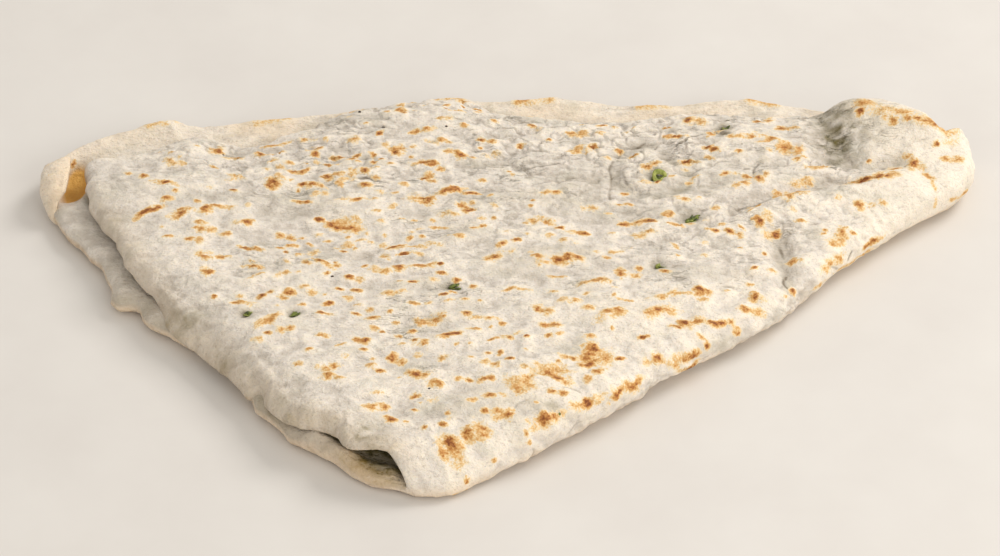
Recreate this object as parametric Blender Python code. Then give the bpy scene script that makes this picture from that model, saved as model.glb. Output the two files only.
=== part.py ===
"""A large herb qutab: a filled, sealed half-moon of thin dough, folded once more into a flat wedge.

Lengths in this file are in millimetres until a mesh is made. +X runs along the wedge, +Y is its sealed
rear, +Z is up, and it lies on z = 0. The nose of the last fold is the front, and the left side shows the
two leaves, one on the other, with the herb filling between them.
"""

import math

import bmesh
import bpy
import numpy as np
from mathutils import Matrix

MM = 0.001

# Moves the outlines below along Y until the part's box is centred on the origin
CENTRING = -0.5

# Heights of the stack
STACK_TOP = 16.0
LOWER_LEAF = 6.9
LEAF_GAP = 2.5
FRONT_LEAF = 4.9
FRONT_GAP = 3.8
RIM_LEAF = 5.2
POCKET_FLOOR = 2.6
LOWEST_GAP = 1.5
END_GAP = 1.0
MOUTH_GAP = 4.6
LEAST_CLEARANCE = 1.0
HANG_SLOPE = 2.0

# Widths over which the stack changes
FRONT_SLOPE = 17.0
REAR_SLOPE = 10.0
RIM_WIDTH = 15.0
SIDE_ROUNDING = 4.2
RIM_ROUNDING = 2.6
DRAPE_WIDTH = 8.0
MOUTH_SLANT = 3.0
MOUTH_DEPTH = 6.0
TEAR_DEPTH = 1.0
HERB_HEIGHT = 2.4
HERB_STANDS = 0.9

# The thin dough that curls up at the rear-left corner: stations of y, then x of its foot, radius and turn
LIP_STATIONS = ((32, -143.2, 0.9, 80), (34.5, -143.4, 2.8, 150), (38, -143.6, 4.7, 200), (42, -144.1, 5.6, 208),
                (47, -144.3, 5.8, 210), (52, -144.2, 5.2, 208), (56, -143.4, 4.0, 200), (60, -141.8, 2.4, 150))
LIP_THICKNESS = 2.2
LIP_FOOT = 5.0

# Outlines in plan. The axes are the two lines where the leaves run into the round nose of the front fold.
LOWER_AXIS = (
    (-33, -92), (-20, -91.5), (-9, -84), (8, -69.5), (32, -52), (44, -39.5),
    (72, -19.5), (89, -2), (97, 8.5), (108, 18.5), (123, 33), (135, 42), (141, 48.5), (141, 57),
)
UPPER_AXIS = ((-36, -87), (-30.5, -82), (-21, -79), (-8, -76.5), *LOWER_AXIS[3:])
UPPER_LEFT = (
    (-36, -87), (-46, -85), (-54, -78.5), (-63, -74), (-75.5, -60.5),
    (-88.5, -44), (-98, -34), (-106, -25), (-113, -12), (-119.5, 2.5), (-131, 25.5), (-135.5, 37), (-136, 53),
)
UPPER_REAR = (
    (-136, 53), (-119, 56), (-105, 65), (-85, 60), (-71, 67), (-57, 78), (-45, 82.5), (-24, 87), (-13, 86),
    (-3, 78), (16, 75), (35, 73), (55, 77), (71, 78), (90, 76), (114, 84),
)
UPPER_END = ((141, 57), (139, 66), (128.5, 75.5), (114, 84))
LOWER_LEFT = (
    (-33, -92), (-41, -90), (-46, -86), (-51, -81), (-59, -77), (-71, -65), (-75, -57),
    (-80, -47), (-88, -35), (-100, -27), (-109, -20), (-113, -11.5), (-120.5, -8.5), (-127, 4), (-135, 18.5),
    (-142, 29), (-144.5, 36), (-146, 46), (-146, 61),
)
LOWER_REAR = (
    (-146, 61), (-137, 69.5), (-113, 79), (-100, 80.5), (-83, 83), (-59, 87), (-46, 90.5), (-30, 92.5),
    (-20, 95), (3.5, 93.5), (17, 96), (30, 93.5), (43, 90.5), (60, 93), (76, 94.5), (93, 92), (111, 87),
)
LOWER_END = ((141, 57), (135, 66.5), (122, 77), (111, 87))
LOWER_OUTLINE = (LOWER_AXIS, LOWER_LEFT, LOWER_REAR, LOWER_END)
UPPER_OUTLINE = (UPPER_AXIS, UPPER_LEFT, UPPER_REAR, UPPER_END)

# The herb filling between the leaves
GREENS_FRONT = ((-49, -72), (-20, -63), (20, -36), (50, -12), (80, 14))
GREENS_LEFT = ((-49, -72), (-66, -62), (-79, -42), (-99, -22), (-115.5, 2), (-128, 26), (-128, 44))
GREENS_REAR = ((-128, 44), (-104, 48), (-70, 52), (-20, 66), (40, 60), (86, 60))
GREENS_END = ((80, 14), (92, 36), (86, 60))
GREENS_CLEARANCE = 0.5
LEAST_GREENS = 0.3
GREENS_RAGGED = 1.6

# Mesh density before and after it is thinned out where the dough is smooth
COLUMNS = 92
LOWER_ROWS = 40
NOSE_ROWS = 13
UPPER_ROWS = 72
BREAD_KEPT = 0.2
EDGE_STEPS = (0.0, 0.8, 1.9, 3.4, 5.4)
FOLD_LENGTH = 222.0
LEAF_DEPTH = 170.0


def route(points):
    """A smooth curve through the points, as a function of the share of its length."""
    knots = np.array(points, float)
    before = np.vstack([2 * knots[0] - knots[1], knots[:-1]])
    after = np.vstack([knots[1:], 2 * knots[-1] - knots[-2]])
    tangents = (after - before) / 2
    t = np.linspace(0, 1, 12, endpoint=False)[:, None]
    pieces = []
    for start, end, out, into in zip(knots[:-1], knots[1:], tangents[:-1], tangents[1:]):
        pieces.append(
            (2 * t**3 - 3 * t**2 + 1) * start + (t**3 - 2 * t**2 + t) * out
            + (3 * t**2 - 2 * t**3) * end + (t**3 - t**2) * into
        )
    line = np.vstack([*pieces, knots[-1:]])
    walked = np.concatenate([[0], np.cumsum(np.linalg.norm(np.diff(line, axis=0), axis=1))])
    return lambda share: np.stack(
        [np.interp(np.asarray(share) * walked[-1], walked, line[:, axis]) for axis in (0, 1)], axis=-1
    )


def distance_to(points, x, y):
    """How far each place is from a curve through the points."""
    line = route(points)(np.linspace(0, 1, 220))
    nearest = np.full(np.shape(x), np.inf)
    for (ax, ay), (bx, by) in zip(line[:-1], line[1:]):
        span = (bx - ax) ** 2 + (by - ay) ** 2
        share = np.clip(((x - ax) * (bx - ax) + (y - ay) * (by - ay)) / span, 0, 1)
        nearest = np.minimum(nearest, np.hypot(x - ax - share * (bx - ax), y - ay - share * (by - ay)))
    return nearest


def inside(curves, x, y):
    """Whether each place lies inside the outline that the four curves of a leaf make."""
    front, left, rear, end = (route(curve)(np.linspace(0, 1, 120)) for curve in curves)
    outline = np.concatenate([front, end, rear[::-1], left[::-1]])
    within = np.zeros(np.shape(x), bool)
    for (ax, ay), (bx, by) in zip(outline, np.roll(outline, -1, axis=0)):
        if ay != by:
            crosses = ((ay > y) != (by > y)) & (x < (bx - ax) * (y - ay) / (by - ay) + ax)
            within ^= crosses
    return within


def bump(distance, width):
    return np.exp(-((distance / width) ** 2))


def noise(x, y, seed):
    """Smooth random hills, one or so to a unit, between -1 and 1."""
    size = 64
    lattice = np.random.default_rng(seed).uniform(-1, 1, (size, size))
    column, row = np.floor(x).astype(int), np.floor(y).astype(int)
    u, v = x - column, y - row
    u, v = u * u * (3 - 2 * u), v * v * (3 - 2 * v)

    def corner(right, up):
        return lattice[(row + up) % size, (column + right) % size]

    lower = corner(0, 0) * (1 - u) + corner(1, 0) * u
    upper = corner(0, 1) * (1 - u) + corner(1, 1) * u
    return lower * (1 - v) + upper * v


def turned(x, y, degrees):
    """Coordinates along and across a direction."""
    c, s = math.cos(math.radians(degrees)), math.sin(math.radians(degrees))
    return x * c + y * s, y * c - x * s


def patch(front, left, rear, end, a, b):
    """The place at share a along the front and share b towards the rear, inside four curves."""
    front_curve, left_curve, rear_curve, end_curve = route(front), route(left), route(rear), route(end)
    a, b = a[..., None], b[..., None]
    sides = (1 - b) * front_curve(a[..., 0]) + b * rear_curve(a[..., 0])
    ends = (1 - a) * left_curve(b[..., 0]) + a * end_curve(b[..., 0])
    corners = (
        (1 - a) * (1 - b) * np.array(front[0], float) + a * (1 - b) * np.array(front[-1], float)
        + (1 - a) * b * np.array(rear[0], float) + a * b * np.array(rear[-1], float)
    )
    return sides + ends - corners


def shares(count, length, at_start=True, at_end=True):
    """Shares from 0 to 1, with the rows of a rounded edge packed close."""
    first = np.array(EDGE_STEPS) / length if at_start else np.zeros(1)
    last = 1 - np.array(EDGE_STEPS[::-1]) / length if at_end else np.ones(1)
    middle = np.linspace(first[-1], last[0], count - len(first) - len(last) + 2)
    return np.concatenate([first[:-1], middle, last[1:]])


# The named folds of the top, each a curve, with its width and its height or depth
CREASE = ((70, 21), (83, 28.5), (93, 34), (102, 37), (110, 38))
CREASE_RIDGE = ((76, 19.5), (90, 26), (101, 31), (113, 34), (125, 38))
VALLEY = ((101, 79), (103, 67), (104, 60), (105.5, 52))
VALLEY_TAIL = ((104, 50), (115, 47), (124, 49))
END_ROLL = ((113, 75), (127, 67), (141, 55))
END_SEAM = ((131, 45), (134, 41), (136, 36))
FRONT_DENT = ((83, 12), (84.5, -2), (87, -13))
HERB_HOLLOW = ((35, 50), (33, 38), (40, 30), (52, 31), (57, 40), (50, 49), (44, 56), (35, 51))
HERB_MOUND = ((40, 40), (50, 40))
REAR_FOLD = ((-60, 60), (-20, 70), (20, 66), (60, 70))
FOLDS = (
    (CREASE, 2.6, -2.1), (CREASE_RIDGE, 5.0, 2.0), (VALLEY, 5.0, -4.6), (VALLEY_TAIL, 3.2, -2.0),
    (END_ROLL, 9.5, 5.4), (END_SEAM, 2.4, -1.1), (FRONT_DENT, 4.0, -2.6), (HERB_HOLLOW, 2.8, -1.2),
    (HERB_MOUND, 5.0, 0.9), (REAR_FOLD, 3.5, 0.6),
)


# Tears in the top with a piece of herb in each: place, length, width, turn in degrees
TEARS = (
    (46, 38, 3.6, 3.2, 20), (56.5, 17.5, 6.0, 2.6, 25), (-66, -30, 2.6, 1.8, 10), (-80, -29, 3.4, 1.6, 30),
    (-18.5, -16, 2.8, 1.6, 0), (45, -5.5, 2.6, 1.6, 15), (12.5, -70.5, 3.0, 1.6, 20), (69, 65, 3.0, 1.8, 5),
)


def wrinkles(x, y):
    """Relief of the top: broad waves, folds drawn out along the wedge, and the named folds."""
    along, across = turned(x, y, 4)
    relief = 0.75 * noise(x / 34, y / 26, 11) + 0.75 * noise(along / 17, across / 8.5, 12)
    relief += 0.42 * noise(along / 9, across / 5.0, 13)
    for line, width, height in FOLDS:
        relief += height * bump(distance_to(line, x, y), width)
    for tear_x, tear_y, length, width, turn in TEARS:
        along, across = turned(x - tear_x, y - tear_y, turn)
        relief -= TEAR_DEPTH * bump(np.hypot(along / length, across / width), 1.0)
    return relief


def side_drape(x, y):
    """How far the upper leaf hangs down over the lower one along the middle of the left side."""
    middle = ((-100, -28), (-90, -42), (-80, -54))
    along_side = bump(distance_to(middle, x, y), 17)
    return 6.2 * along_side * bump(distance_to(UPPER_LEFT, x, y), DRAPE_WIDTH)


def tunnel(x, y):
    """The open loop at the left end of the front fold."""
    return bump(np.hypot(x + 37, y + 85), 13.0)


def corner_lift(x, y):
    """The rim's raised roll at the rear-left corner."""
    return bump(distance_to(((-143, 61), (-130, 70), (-112, 76)), x, y), 5.0)


def pocket(x, y):
    """The hollow behind the curled lip, where the rim isn't sealed."""
    along, across = turned(x + 139.8, y - 48.0, 84)
    return bump((along / 10.5) ** 2 + (across / 4.4) ** 2, 1.0)


def lower_top(x, y):
    """Height of the lower leaf's upper face."""
    rim = bump(distance_to(LOWER_REAR, x, y), RIM_WIDTH)
    end = bump(distance_to(LOWER_END, x, y), RIM_WIDTH)
    front = bump(distance_to(UPPER_AXIS, x, y), FRONT_SLOPE)
    height = LOWER_LEAF + (RIM_LEAF - LOWER_LEAF) * np.maximum(rim, end)
    height += (FRONT_LEAF - LOWER_LEAF) * front * (1 - np.maximum(rim, end))
    height += 0.8 * noise(x / 11, y / 7, 21) * rim + 2.6 * corner_lift(x, y)
    height -= 1.6 * tunnel(x, y)
    return height + (POCKET_FLOOR - height) * pocket(x, y)


def leaf_gap(x, y):
    front = bump(distance_to(UPPER_AXIS, x, y), 12.0)
    end = bump(distance_to(END_ROLL, x, y), 12.0)
    rear = bump(distance_to(UPPER_REAR, x, y), 12.0)
    gap = LEAF_GAP + (FRONT_GAP - LEAF_GAP) * front + END_GAP * end + MOUTH_GAP * tunnel(x, y)
    return gap - (LEAF_GAP - LOWEST_GAP) * rear * (1 - end)


def lower_leaf(x, y):
    """Heights of the two faces of the lower leaf, rounded off at its free edges."""
    top = lower_top(x, y)
    side = rounded(distance_to(LOWER_LEFT, x, y), SIDE_ROUNDING)
    rear = rounded(distance_to(LOWER_REAR, x, y), RIM_ROUNDING)
    end = rounded(distance_to(LOWER_END, x, y), RIM_ROUNDING)
    full = side * rear * end
    return top / 2 * (1 - full), top / 2 * (1 + full)


def upper_leaf(x, y):
    """Heights of the two faces of the upper leaf, rounded off at its free edges."""
    base = lower_top(x, y) + leaf_gap(x, y)
    front = bump(distance_to(UPPER_AXIS, x, y), FRONT_SLOPE)
    rear = bump(distance_to(UPPER_REAR, x, y), REAR_SLOPE)
    left = distance_to(UPPER_LEFT, x, y)
    top = STACK_TOP - 2.2 * front - 4.2 * rear - 0.9 * bump(left, 9) + wrinkles(x, y)
    top = np.maximum(top, base + 2.6)
    over_leaf = base - lower_leaf(x, y)[1]
    past_leaf = base - lower_top(x, y) / 2 + HANG_SLOPE * distance_to(LOWER_LEFT, x, y)
    clear = np.where(inside(LOWER_OUTLINE, x, y), over_leaf, past_leaf) - LEAST_CLEARANCE
    hang = np.minimum(side_drape(x, y), clear)
    side = rounded(left, SIDE_ROUNDING)
    back = rounded(distance_to(UPPER_REAR, x, y), RIM_ROUNDING)
    end = rounded(distance_to(UPPER_END, x, y), RIM_ROUNDING)
    tip = base + (top - base) * (0.5 - 0.3 * bump(left, SIDE_ROUNDING))
    full = side * back * end
    return tip - hang - (tip - base) * full, tip - hang + (top - tip) * full


def rounded(distance, radius):
    """Share of the full thickness at this distance from an edge: a quarter round."""
    inward = np.clip(distance / radius, 0, 1)
    return np.sqrt(np.clip(1 - (1 - inward) ** 2, 0, 1))


def leaf_rows(outline, leaf, columns, rows):
    """Places and the two heights of a leaf, with the row on the fold's axis first."""
    a, b = np.meshgrid(columns, rows)
    place = patch(*outline, a, b)
    below, above = leaf(place[..., 0], place[..., 1])
    return np.dstack([place, below]), np.dstack([place, above])


def nose_rows(columns, lower_faces, upper_faces):
    """(outer, inner) rows round the front fold, from under its axis to over it."""
    lower_axis, upper_axis = route(LOWER_AXIS), route(UPPER_AXIS)
    walked = columns * FOLD_LENGTH
    lower_middle, lower_half = sum(lower_faces) / 2, (lower_faces[1] - lower_faces[0]) / 2
    upper_middle, upper_half = sum(upper_faces) / 2, (upper_faces[1] - upper_faces[0]) / 2
    centre, radius = (upper_middle + lower_middle) / 2, (upper_middle - lower_middle) / 2
    outer, inner = [], []
    for angle in np.linspace(-math.pi / 2, math.pi / 2, NOSE_ROWS)[1:-1]:
        share = 0.5 + angle / math.pi
        at_mouth = np.exp(-walked / MOUTH_DEPTH)
        cut_back = MOUTH_SLANT * math.cos(angle) * (1 - 0.5 * math.sin(angle)) * at_mouth
        along = columns + cut_back / FOLD_LENGTH
        ahead = lower_axis(np.clip(along + 0.004, 0, 1)) - lower_axis(np.clip(along - 0.004, 0, 1))
        ahead /= np.linalg.norm(ahead, axis=1)[:, None]
        outward = np.stack([ahead[:, 1], -ahead[:, 0]], axis=1)
        raised = (1 + math.sin(angle)) / 2
        axis = lower_axis(along) * (1 - raised) + upper_axis(along) * raised
        half = lower_half * (1 - share) + upper_half * share
        lump = 1 + 0.25 * noise(walked / 11, np.full_like(walked, angle * 1.3), 31) * math.cos(angle)
        reach = math.cos(angle) * (1 - (0.35 + 0.4 * raised) * at_mouth)
        for rows, size in ((outer, radius + half * lump), (inner, radius - half)):
            height = np.maximum(centre + size * math.sin(angle), 0)
            rows.append(np.column_stack([axis + (size * reach)[:, None] * outward, height]))
    return np.array(outer), np.array(inner)


def folded_sheet():
    """Outer and inner points of the folded bread, from the lower rear, round the nose, to the upper rear."""
    columns = shares(COLUMNS, FOLD_LENGTH)
    lower = leaf_rows(LOWER_OUTLINE, lower_leaf, columns, shares(LOWER_ROWS, LEAF_DEPTH, at_start=False))
    upper = leaf_rows(UPPER_OUTLINE, upper_leaf, columns, shares(UPPER_ROWS, LEAF_DEPTH, at_start=False))
    lower_faces, upper_faces = ([face[0, :, 2] for face in leaf] for leaf in (lower, upper))
    nose_outer, nose_inner = nose_rows(columns, lower_faces, upper_faces)
    outer = np.concatenate([lower[0][::-1], nose_outer, upper[1]])
    inner = np.concatenate([lower[1][::-1], nose_inner, upper[0]])
    return outer, inner


def closed_mesh(name, outer, inner):
    """One closed mesh from two sheets of points that meet along their outermost rows and columns.

    Each quad is split so that no cut joins two edge points across a corner of the sheet.
    """
    rows, columns = outer.shape[:2]
    index = np.arange(rows * columns).reshape(rows, columns)
    second = np.full((rows, columns), -1)
    second[1:-1, 1:-1] = rows * columns + np.arange((rows - 2) * (columns - 2)).reshape(rows - 2, columns - 2)
    second = np.where(second < 0, index, second)
    points = np.concatenate([outer.reshape(-1, 3), inner[1:-1, 1:-1].reshape(-1, 3)]) * MM
    down, across = np.meshgrid(np.arange(rows - 1) < rows // 2, np.arange(columns - 1) < columns // 2, indexing="ij")
    faces = []
    for sheet, turn in ((index, 1), (second, -1)):
        first, right, far, below = sheet[:-1, :-1], sheet[:-1, 1:], sheet[1:, 1:], sheet[1:, :-1]
        outwards = np.stack([first, right, far, first, far, below], axis=-1)[down == across]
        inwards = np.stack([first, right, below, right, far, below], axis=-1)[down != across]
        triangles = np.concatenate([outwards, inwards]).reshape(-1, 3)
        faces += triangles[:, ::turn].tolist()
    mesh = bpy.data.meshes.new(name)
    mesh.from_pydata([tuple(point) for point in points.tolist()], [], faces)
    mesh.update()
    return mesh


def add_object(name, mesh, material):
    obj = bpy.data.objects.new(name, mesh)
    bpy.context.scene.collection.objects.link(obj)
    mesh.materials.append(material)
    mesh.shade_smooth()
    return obj


def finish(name, colour, roughness):
    material = bpy.data.materials.new(name)
    material.use_nodes = True
    shader = material.node_tree.nodes["Principled BSDF"]
    shader.inputs["Base Color"].default_value = (*colour, 1)
    shader.inputs["Roughness"].default_value = roughness
    return material


def lip_mesh():
    """The curled lip: a strip along y whose foot lies under the lower leaf and whose edge turns back over."""
    stations = np.array(LIP_STATIONS, float)
    y = np.linspace(stations[0, 0], stations[-1, 0], 17)
    foot, radius, turn = (np.interp(y, stations[:, 0], stations[:, i]) for i in (1, 2, 3))
    outer, inner = [], []
    for place, foot_x, size, angle in zip(y, foot, radius, np.radians(turn)):
        flat = LIP_FOOT / size
        swing = np.concatenate([[-flat, -flat * 0.8, -flat * 0.4], np.linspace(0, angle, 12), [angle + 0.5 / size]])
        walked = np.minimum(swing - swing[0], swing[-1] - swing) * size
        ends = min(place - y[0], y[-1] - place)
        half = LIP_THICKNESS / 2 * rounded(walked, 1.4) * rounded(ends, 2.0)
        round_part = np.maximum(swing, 0)
        for rows, reach in ((outer, size + half), (inner, size - half)):
            x = foot_x - reach * np.sin(round_part) - np.minimum(swing, 0) * size
            z = LIP_THICKNESS / 2 + size - reach * np.cos(round_part)
            rows.append(np.column_stack([x, np.full_like(x, place), z]))
    return closed_mesh("lip", np.array(outer), np.array(inner))


def herb_mesh(length, width, height):
    """A small cut piece of herb, a rounded lump with flat facets."""
    bm = bmesh.new()
    bmesh.ops.create_icosphere(bm, subdivisions=1, radius=1)
    bmesh.ops.scale(bm, vec=(length / 2 * MM, width / 2 * MM, height / 2 * MM), verts=bm.verts)
    mesh = bpy.data.meshes.new("herb")
    bm.to_mesh(mesh)
    bm.free()
    return mesh


def top_height(x, y):
    return float(upper_leaf(np.array([[float(x)]]), np.array([[float(y)]]))[1][0, 0])


def make_bread():
    dough = finish("baked_dough", (0.72, 0.62, 0.45), 0.75)
    outer, inner = folded_sheet()
    bread = add_object("bread", closed_mesh("bread", outer, inner), dough)
    thin = bread.modifiers.new("thin_out", "DECIMATE")
    thin.ratio = BREAD_KEPT
    added = bpy.data.collections.new("fused_pieces")
    bpy.context.scene.collection.children.link(added)
    pieces = [bpy.data.objects.new("lip", lip_mesh())]
    for x, y, length, width, turn in TEARS:
        herb = bpy.data.objects.new("herb", herb_mesh(length, width, HERB_HEIGHT))
        herb.location = (x * MM, y * MM, (top_height(x, y) + HERB_STANDS - HERB_HEIGHT / 2) * MM)
        herb.rotation_euler = (0, 0, math.radians(turn))
        pieces.append(herb)
    for piece in pieces:
        added.objects.link(piece)
    join = bread.modifiers.new("fuse", "BOOLEAN")
    join.operation = "UNION"
    join.solver = "MANIFOLD"
    join.operand_type = "COLLECTION"
    join.collection = added
    bpy.context.view_layer.update()
    fused = bpy.data.meshes.new_from_object(bread.evaluated_get(bpy.context.evaluated_depsgraph_get()))
    bread.modifiers.clear()
    bread.data = fused
    fused.materials.clear()
    fused.materials.append(dough)
    for piece in pieces:
        bpy.data.objects.remove(piece)
    bpy.data.collections.remove(added)
    return bread


def make_greens():
    a, b = np.meshgrid(shares(24, 160), shares(18, 120))
    place = patch(GREENS_FRONT, GREENS_LEFT, GREENS_REAR, GREENS_END, a, b)
    edge = np.minimum(np.minimum(a, 1 - a) * 160, np.minimum(b, 1 - b) * 120)
    sway = GREENS_RAGGED * noise(place[..., 0] / 4, place[..., 1] / 4, 41) * bump(edge, 6)
    x, y = place[..., 0] + sway, place[..., 1] + 0.6 * sway
    floor, roof = lower_leaf(x, y)[1], upper_leaf(x, y)[0]
    middle = (floor + roof) / 2
    half = np.maximum((roof - floor) / 2 - GREENS_CLEARANCE, LEAST_GREENS / 2)
    half *= rounded(edge, 1.6) * (0.8 + 0.2 * noise(x / 5, y / 5, 42))
    top = np.dstack([x, y, middle + half])
    base = np.dstack([x, y, middle - half])
    return add_object("greens", closed_mesh("greens", top, base), finish("herb_filling", (0.10, 0.13, 0.04), 0.8))


def main():
    for obj in list(bpy.data.objects):
        bpy.data.objects.remove(obj)
    for piece in (make_bread(), make_greens()):
        piece.data.transform(Matrix.Translation((0, CENTRING * MM, 0)))


main()
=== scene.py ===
"""Looks of a herb qutab: thin griddled dough with brown blisters, folded over a dark herb filling.

Lengths are in millimetres until a mesh is made, in the part's own frame: +X along the wedge, +Y towards the
sealed rear rim, +Z up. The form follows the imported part, and finer relief, colour and herbs are added here.
"""

import math

import bpy
import numpy as np
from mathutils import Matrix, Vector


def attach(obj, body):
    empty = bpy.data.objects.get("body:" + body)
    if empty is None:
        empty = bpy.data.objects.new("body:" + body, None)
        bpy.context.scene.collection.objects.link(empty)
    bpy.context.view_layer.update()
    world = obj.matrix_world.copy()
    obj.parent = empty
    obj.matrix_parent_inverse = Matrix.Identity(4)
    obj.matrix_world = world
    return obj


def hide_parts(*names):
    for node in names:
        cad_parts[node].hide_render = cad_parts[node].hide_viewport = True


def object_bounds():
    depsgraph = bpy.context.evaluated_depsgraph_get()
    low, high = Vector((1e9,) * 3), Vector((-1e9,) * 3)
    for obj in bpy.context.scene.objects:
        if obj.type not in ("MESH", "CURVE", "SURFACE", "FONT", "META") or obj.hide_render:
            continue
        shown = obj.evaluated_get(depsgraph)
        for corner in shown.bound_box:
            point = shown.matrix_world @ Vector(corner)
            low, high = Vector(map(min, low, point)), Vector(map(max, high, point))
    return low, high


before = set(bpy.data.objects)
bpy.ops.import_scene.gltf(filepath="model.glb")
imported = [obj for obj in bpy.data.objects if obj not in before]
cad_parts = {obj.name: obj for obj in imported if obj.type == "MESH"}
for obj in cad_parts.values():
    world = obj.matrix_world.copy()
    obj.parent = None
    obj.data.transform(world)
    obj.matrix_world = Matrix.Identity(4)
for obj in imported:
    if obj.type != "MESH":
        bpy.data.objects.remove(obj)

CAD_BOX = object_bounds()
MM = 0.001
CENTRING = -0.5

# Heights of the stack
STACK_TOP = 16.0
LOWER_LEAF = 6.9
LEAF_GAP = 2.5
FRONT_LEAF = 4.9
FRONT_GAP = 3.8
RIM_LEAF = 5.2
POCKET_FLOOR = 2.6
LOWEST_GAP = 1.5
END_GAP = 1.0
MOUTH_GAP = 4.6
LEAST_CLEARANCE = 1.0
HANG_SLOPE = 2.0
LEAST_LEAF = 2.6
FALL_TO_FRONT = 2.2
FALL_TO_REAR = 4.2
FALL_TO_LEFT = 0.9
TUNNEL_DIP = 1.6
CORNER_ROLL_HEIGHT = 2.6
RIM_SCORCH_HEIGHT = 1.1
DRAPE = 6.2

# Widths over which the stack changes
FRONT_SLOPE = 17.0
REAR_SLOPE = 10.0
RIM_WIDTH = 15.0
LEFT_SLOPE = 9.0
SIDE_ROUNDING = 4.2
RIM_ROUNDING = 2.6
DRAPE_WIDTH = 8.0
DRAPE_REACH = 17.0
TUNNEL_WIDTH = 13.0
GAP_SLOPE = 12.0
MOUTH_SLANT = 3.0
MOUTH_DEPTH = 6.0
TEAR_DEPTH = 1.6
BLUNT_END = 0.42
BLUNT_FROM = 192.0
BLUNT_TO = 212.0

# The thin dough that curls up at the rear-left corner: stations of y, then x of its foot, radius and turn
LIP_STATIONS = (
    (32, -143.2, 0.9, 80), (34.5, -143.4, 2.8, 150), (38, -143.6, 4.7, 200), (42, -144.1, 5.6, 208),
    (47, -144.3, 5.8, 210), (52, -144.2, 5.2, 208), (56, -143.4, 4.0, 200), (60, -141.8, 2.4, 150),
)
LIP_THICKNESS = 2.0
LIP_FOOT = 5.0
LIP_ROWS = 56
LIP_SCORCH_MARKS = ((12, 50, 5, 2, 10), (15, 44, 3, 2, 0))

# Outlines in plan. The axes are the two lines where the leaves run into the round nose of the front fold.
FOLD_CORNER = (140.5, 60.5)
FOLD_CORNER_WIDTH = 6.0
LOWER_AXIS = (
    (-33, -92), (-20, -91.5), (-9, -84), (8, -69.5), (32, -52), (44, -39.5), (72, -19.5), (89, -2),
    (97, 8.5), (108, 18.5), (123, 33), (135, 41.5), (140.5, 47.5), (142.5, 54.5), FOLD_CORNER,
)
UPPER_AXIS = ((-36, -87), (-30.5, -82), (-21, -79), (-8, -76.5), *LOWER_AXIS[3:])
UPPER_LEFT = (
    (-36, -87), (-46, -85), (-54, -78.5), (-63, -74), (-75.5, -60.5), (-88.5, -44), (-98, -34), (-106, -25),
    (-113, -12), (-119.5, 2.5), (-131, 25.5), (-135.5, 37), (-136, 53),
)
UPPER_REAR = (
    (-136, 53), (-119, 56), (-105, 65), (-85, 60), (-71, 67), (-57, 78), (-45, 82.5), (-24, 87), (-13, 86),
    (-3, 78), (16, 75), (35, 73), (55, 77), (71, 78), (90, 76), (114, 84),
)
UPPER_END = (FOLD_CORNER, (136.5, 67.5), (128.5, 75.5), (114, 84))
LOWER_LEFT = (
    (-33, -92), (-41, -90), (-46, -86), (-51, -81), (-59, -77), (-71, -65), (-75, -57), (-80, -47),
    (-88, -35), (-100, -27), (-109, -20), (-113, -11.5), (-120.5, -8.5), (-127, 4), (-135, 18.5),
    (-142, 29), (-144.5, 36), (-146, 46), (-146, 61),
)
LOWER_REAR = (
    (-146, 61), (-137, 69.5), (-113, 79), (-100, 80.5), (-83, 83), (-59, 87), (-46, 90.5), (-30, 92.5),
    (-20, 95), (3.5, 93.5), (17, 96), (30, 93.5), (43, 90.5), (60, 93), (76, 94.5), (93, 92), (111, 87),
)
LOWER_END = (FOLD_CORNER, (134, 68), (122, 77), (111, 87))
LOWER_OUTLINE = (LOWER_AXIS, LOWER_LEFT, LOWER_REAR, LOWER_END)
UPPER_OUTLINE = (UPPER_AXIS, UPPER_LEFT, UPPER_REAR, UPPER_END)

# The open loop at the left end of the front fold, the leaf hanging over the side, and the rear-left corner
TUNNEL_PLACE = (-37, -85)
MOUTH_PLACE = (-40, -84)
DRAPED_SIDE = ((-100, -28), (-90, -42), (-80, -54))
CORNER_ROLL = ((-143, 61), (-130, 70), (-112, 76))
CORNER_ROLL_WIDTH = 5.0
POCKET_PLACE = (-139.8, 48.0)
POCKET_LENGTH = 10.5
POCKET_WIDTH = 4.4
POCKET_TURN = 84

# The named folds of the top, each a curve, with its width and its height or depth
CREASE = ((70, 21), (83, 28.5), (93, 34), (102, 37), (110, 38))
CREASE_RIDGE = ((76, 19.5), (90, 26), (101, 31), (113, 34), (125, 38))
VALLEY = ((101, 79), (103, 67), (104, 60), (105.5, 52))
VALLEY_TAIL = ((104, 50), (115, 47), (124, 49))
END_ROLL = ((113, 75), (124, 69), (132.5, 62.5))
END_SHOULDER = ((133, 64), (139, 59))
END_SEAM = ((131, 45), (134, 41), (136, 36))
FRONT_DENT = ((83, 12), (84.5, -2), (87, -13))
HERB_HOLLOW = ((35, 50), (33, 38), (40, 30), (52, 31), (57, 40), (50, 49), (44, 56), (35, 51))
HERB_MOUND = ((40, 40), (50, 40))
REAR_FOLD = ((-60, 60), (-20, 70), (20, 66), (60, 70))
FOLDS = (
    (CREASE, 2.6, -2.1), (CREASE_RIDGE, 5.0, 2.0), (VALLEY, 5.6, -3.0), (VALLEY_TAIL, 3.2, -2.0),
    (END_ROLL, 9.5, 5.4), (END_SEAM, 2.4, -1.1), (FRONT_DENT, 4.0, -2.6), (HERB_HOLLOW, 2.8, -1.2),
    (HERB_MOUND, 5.0, 0.9), (REAR_FOLD, 3.5, 0.6), (END_SHOULDER, 4.5, 1.5),
)

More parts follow.
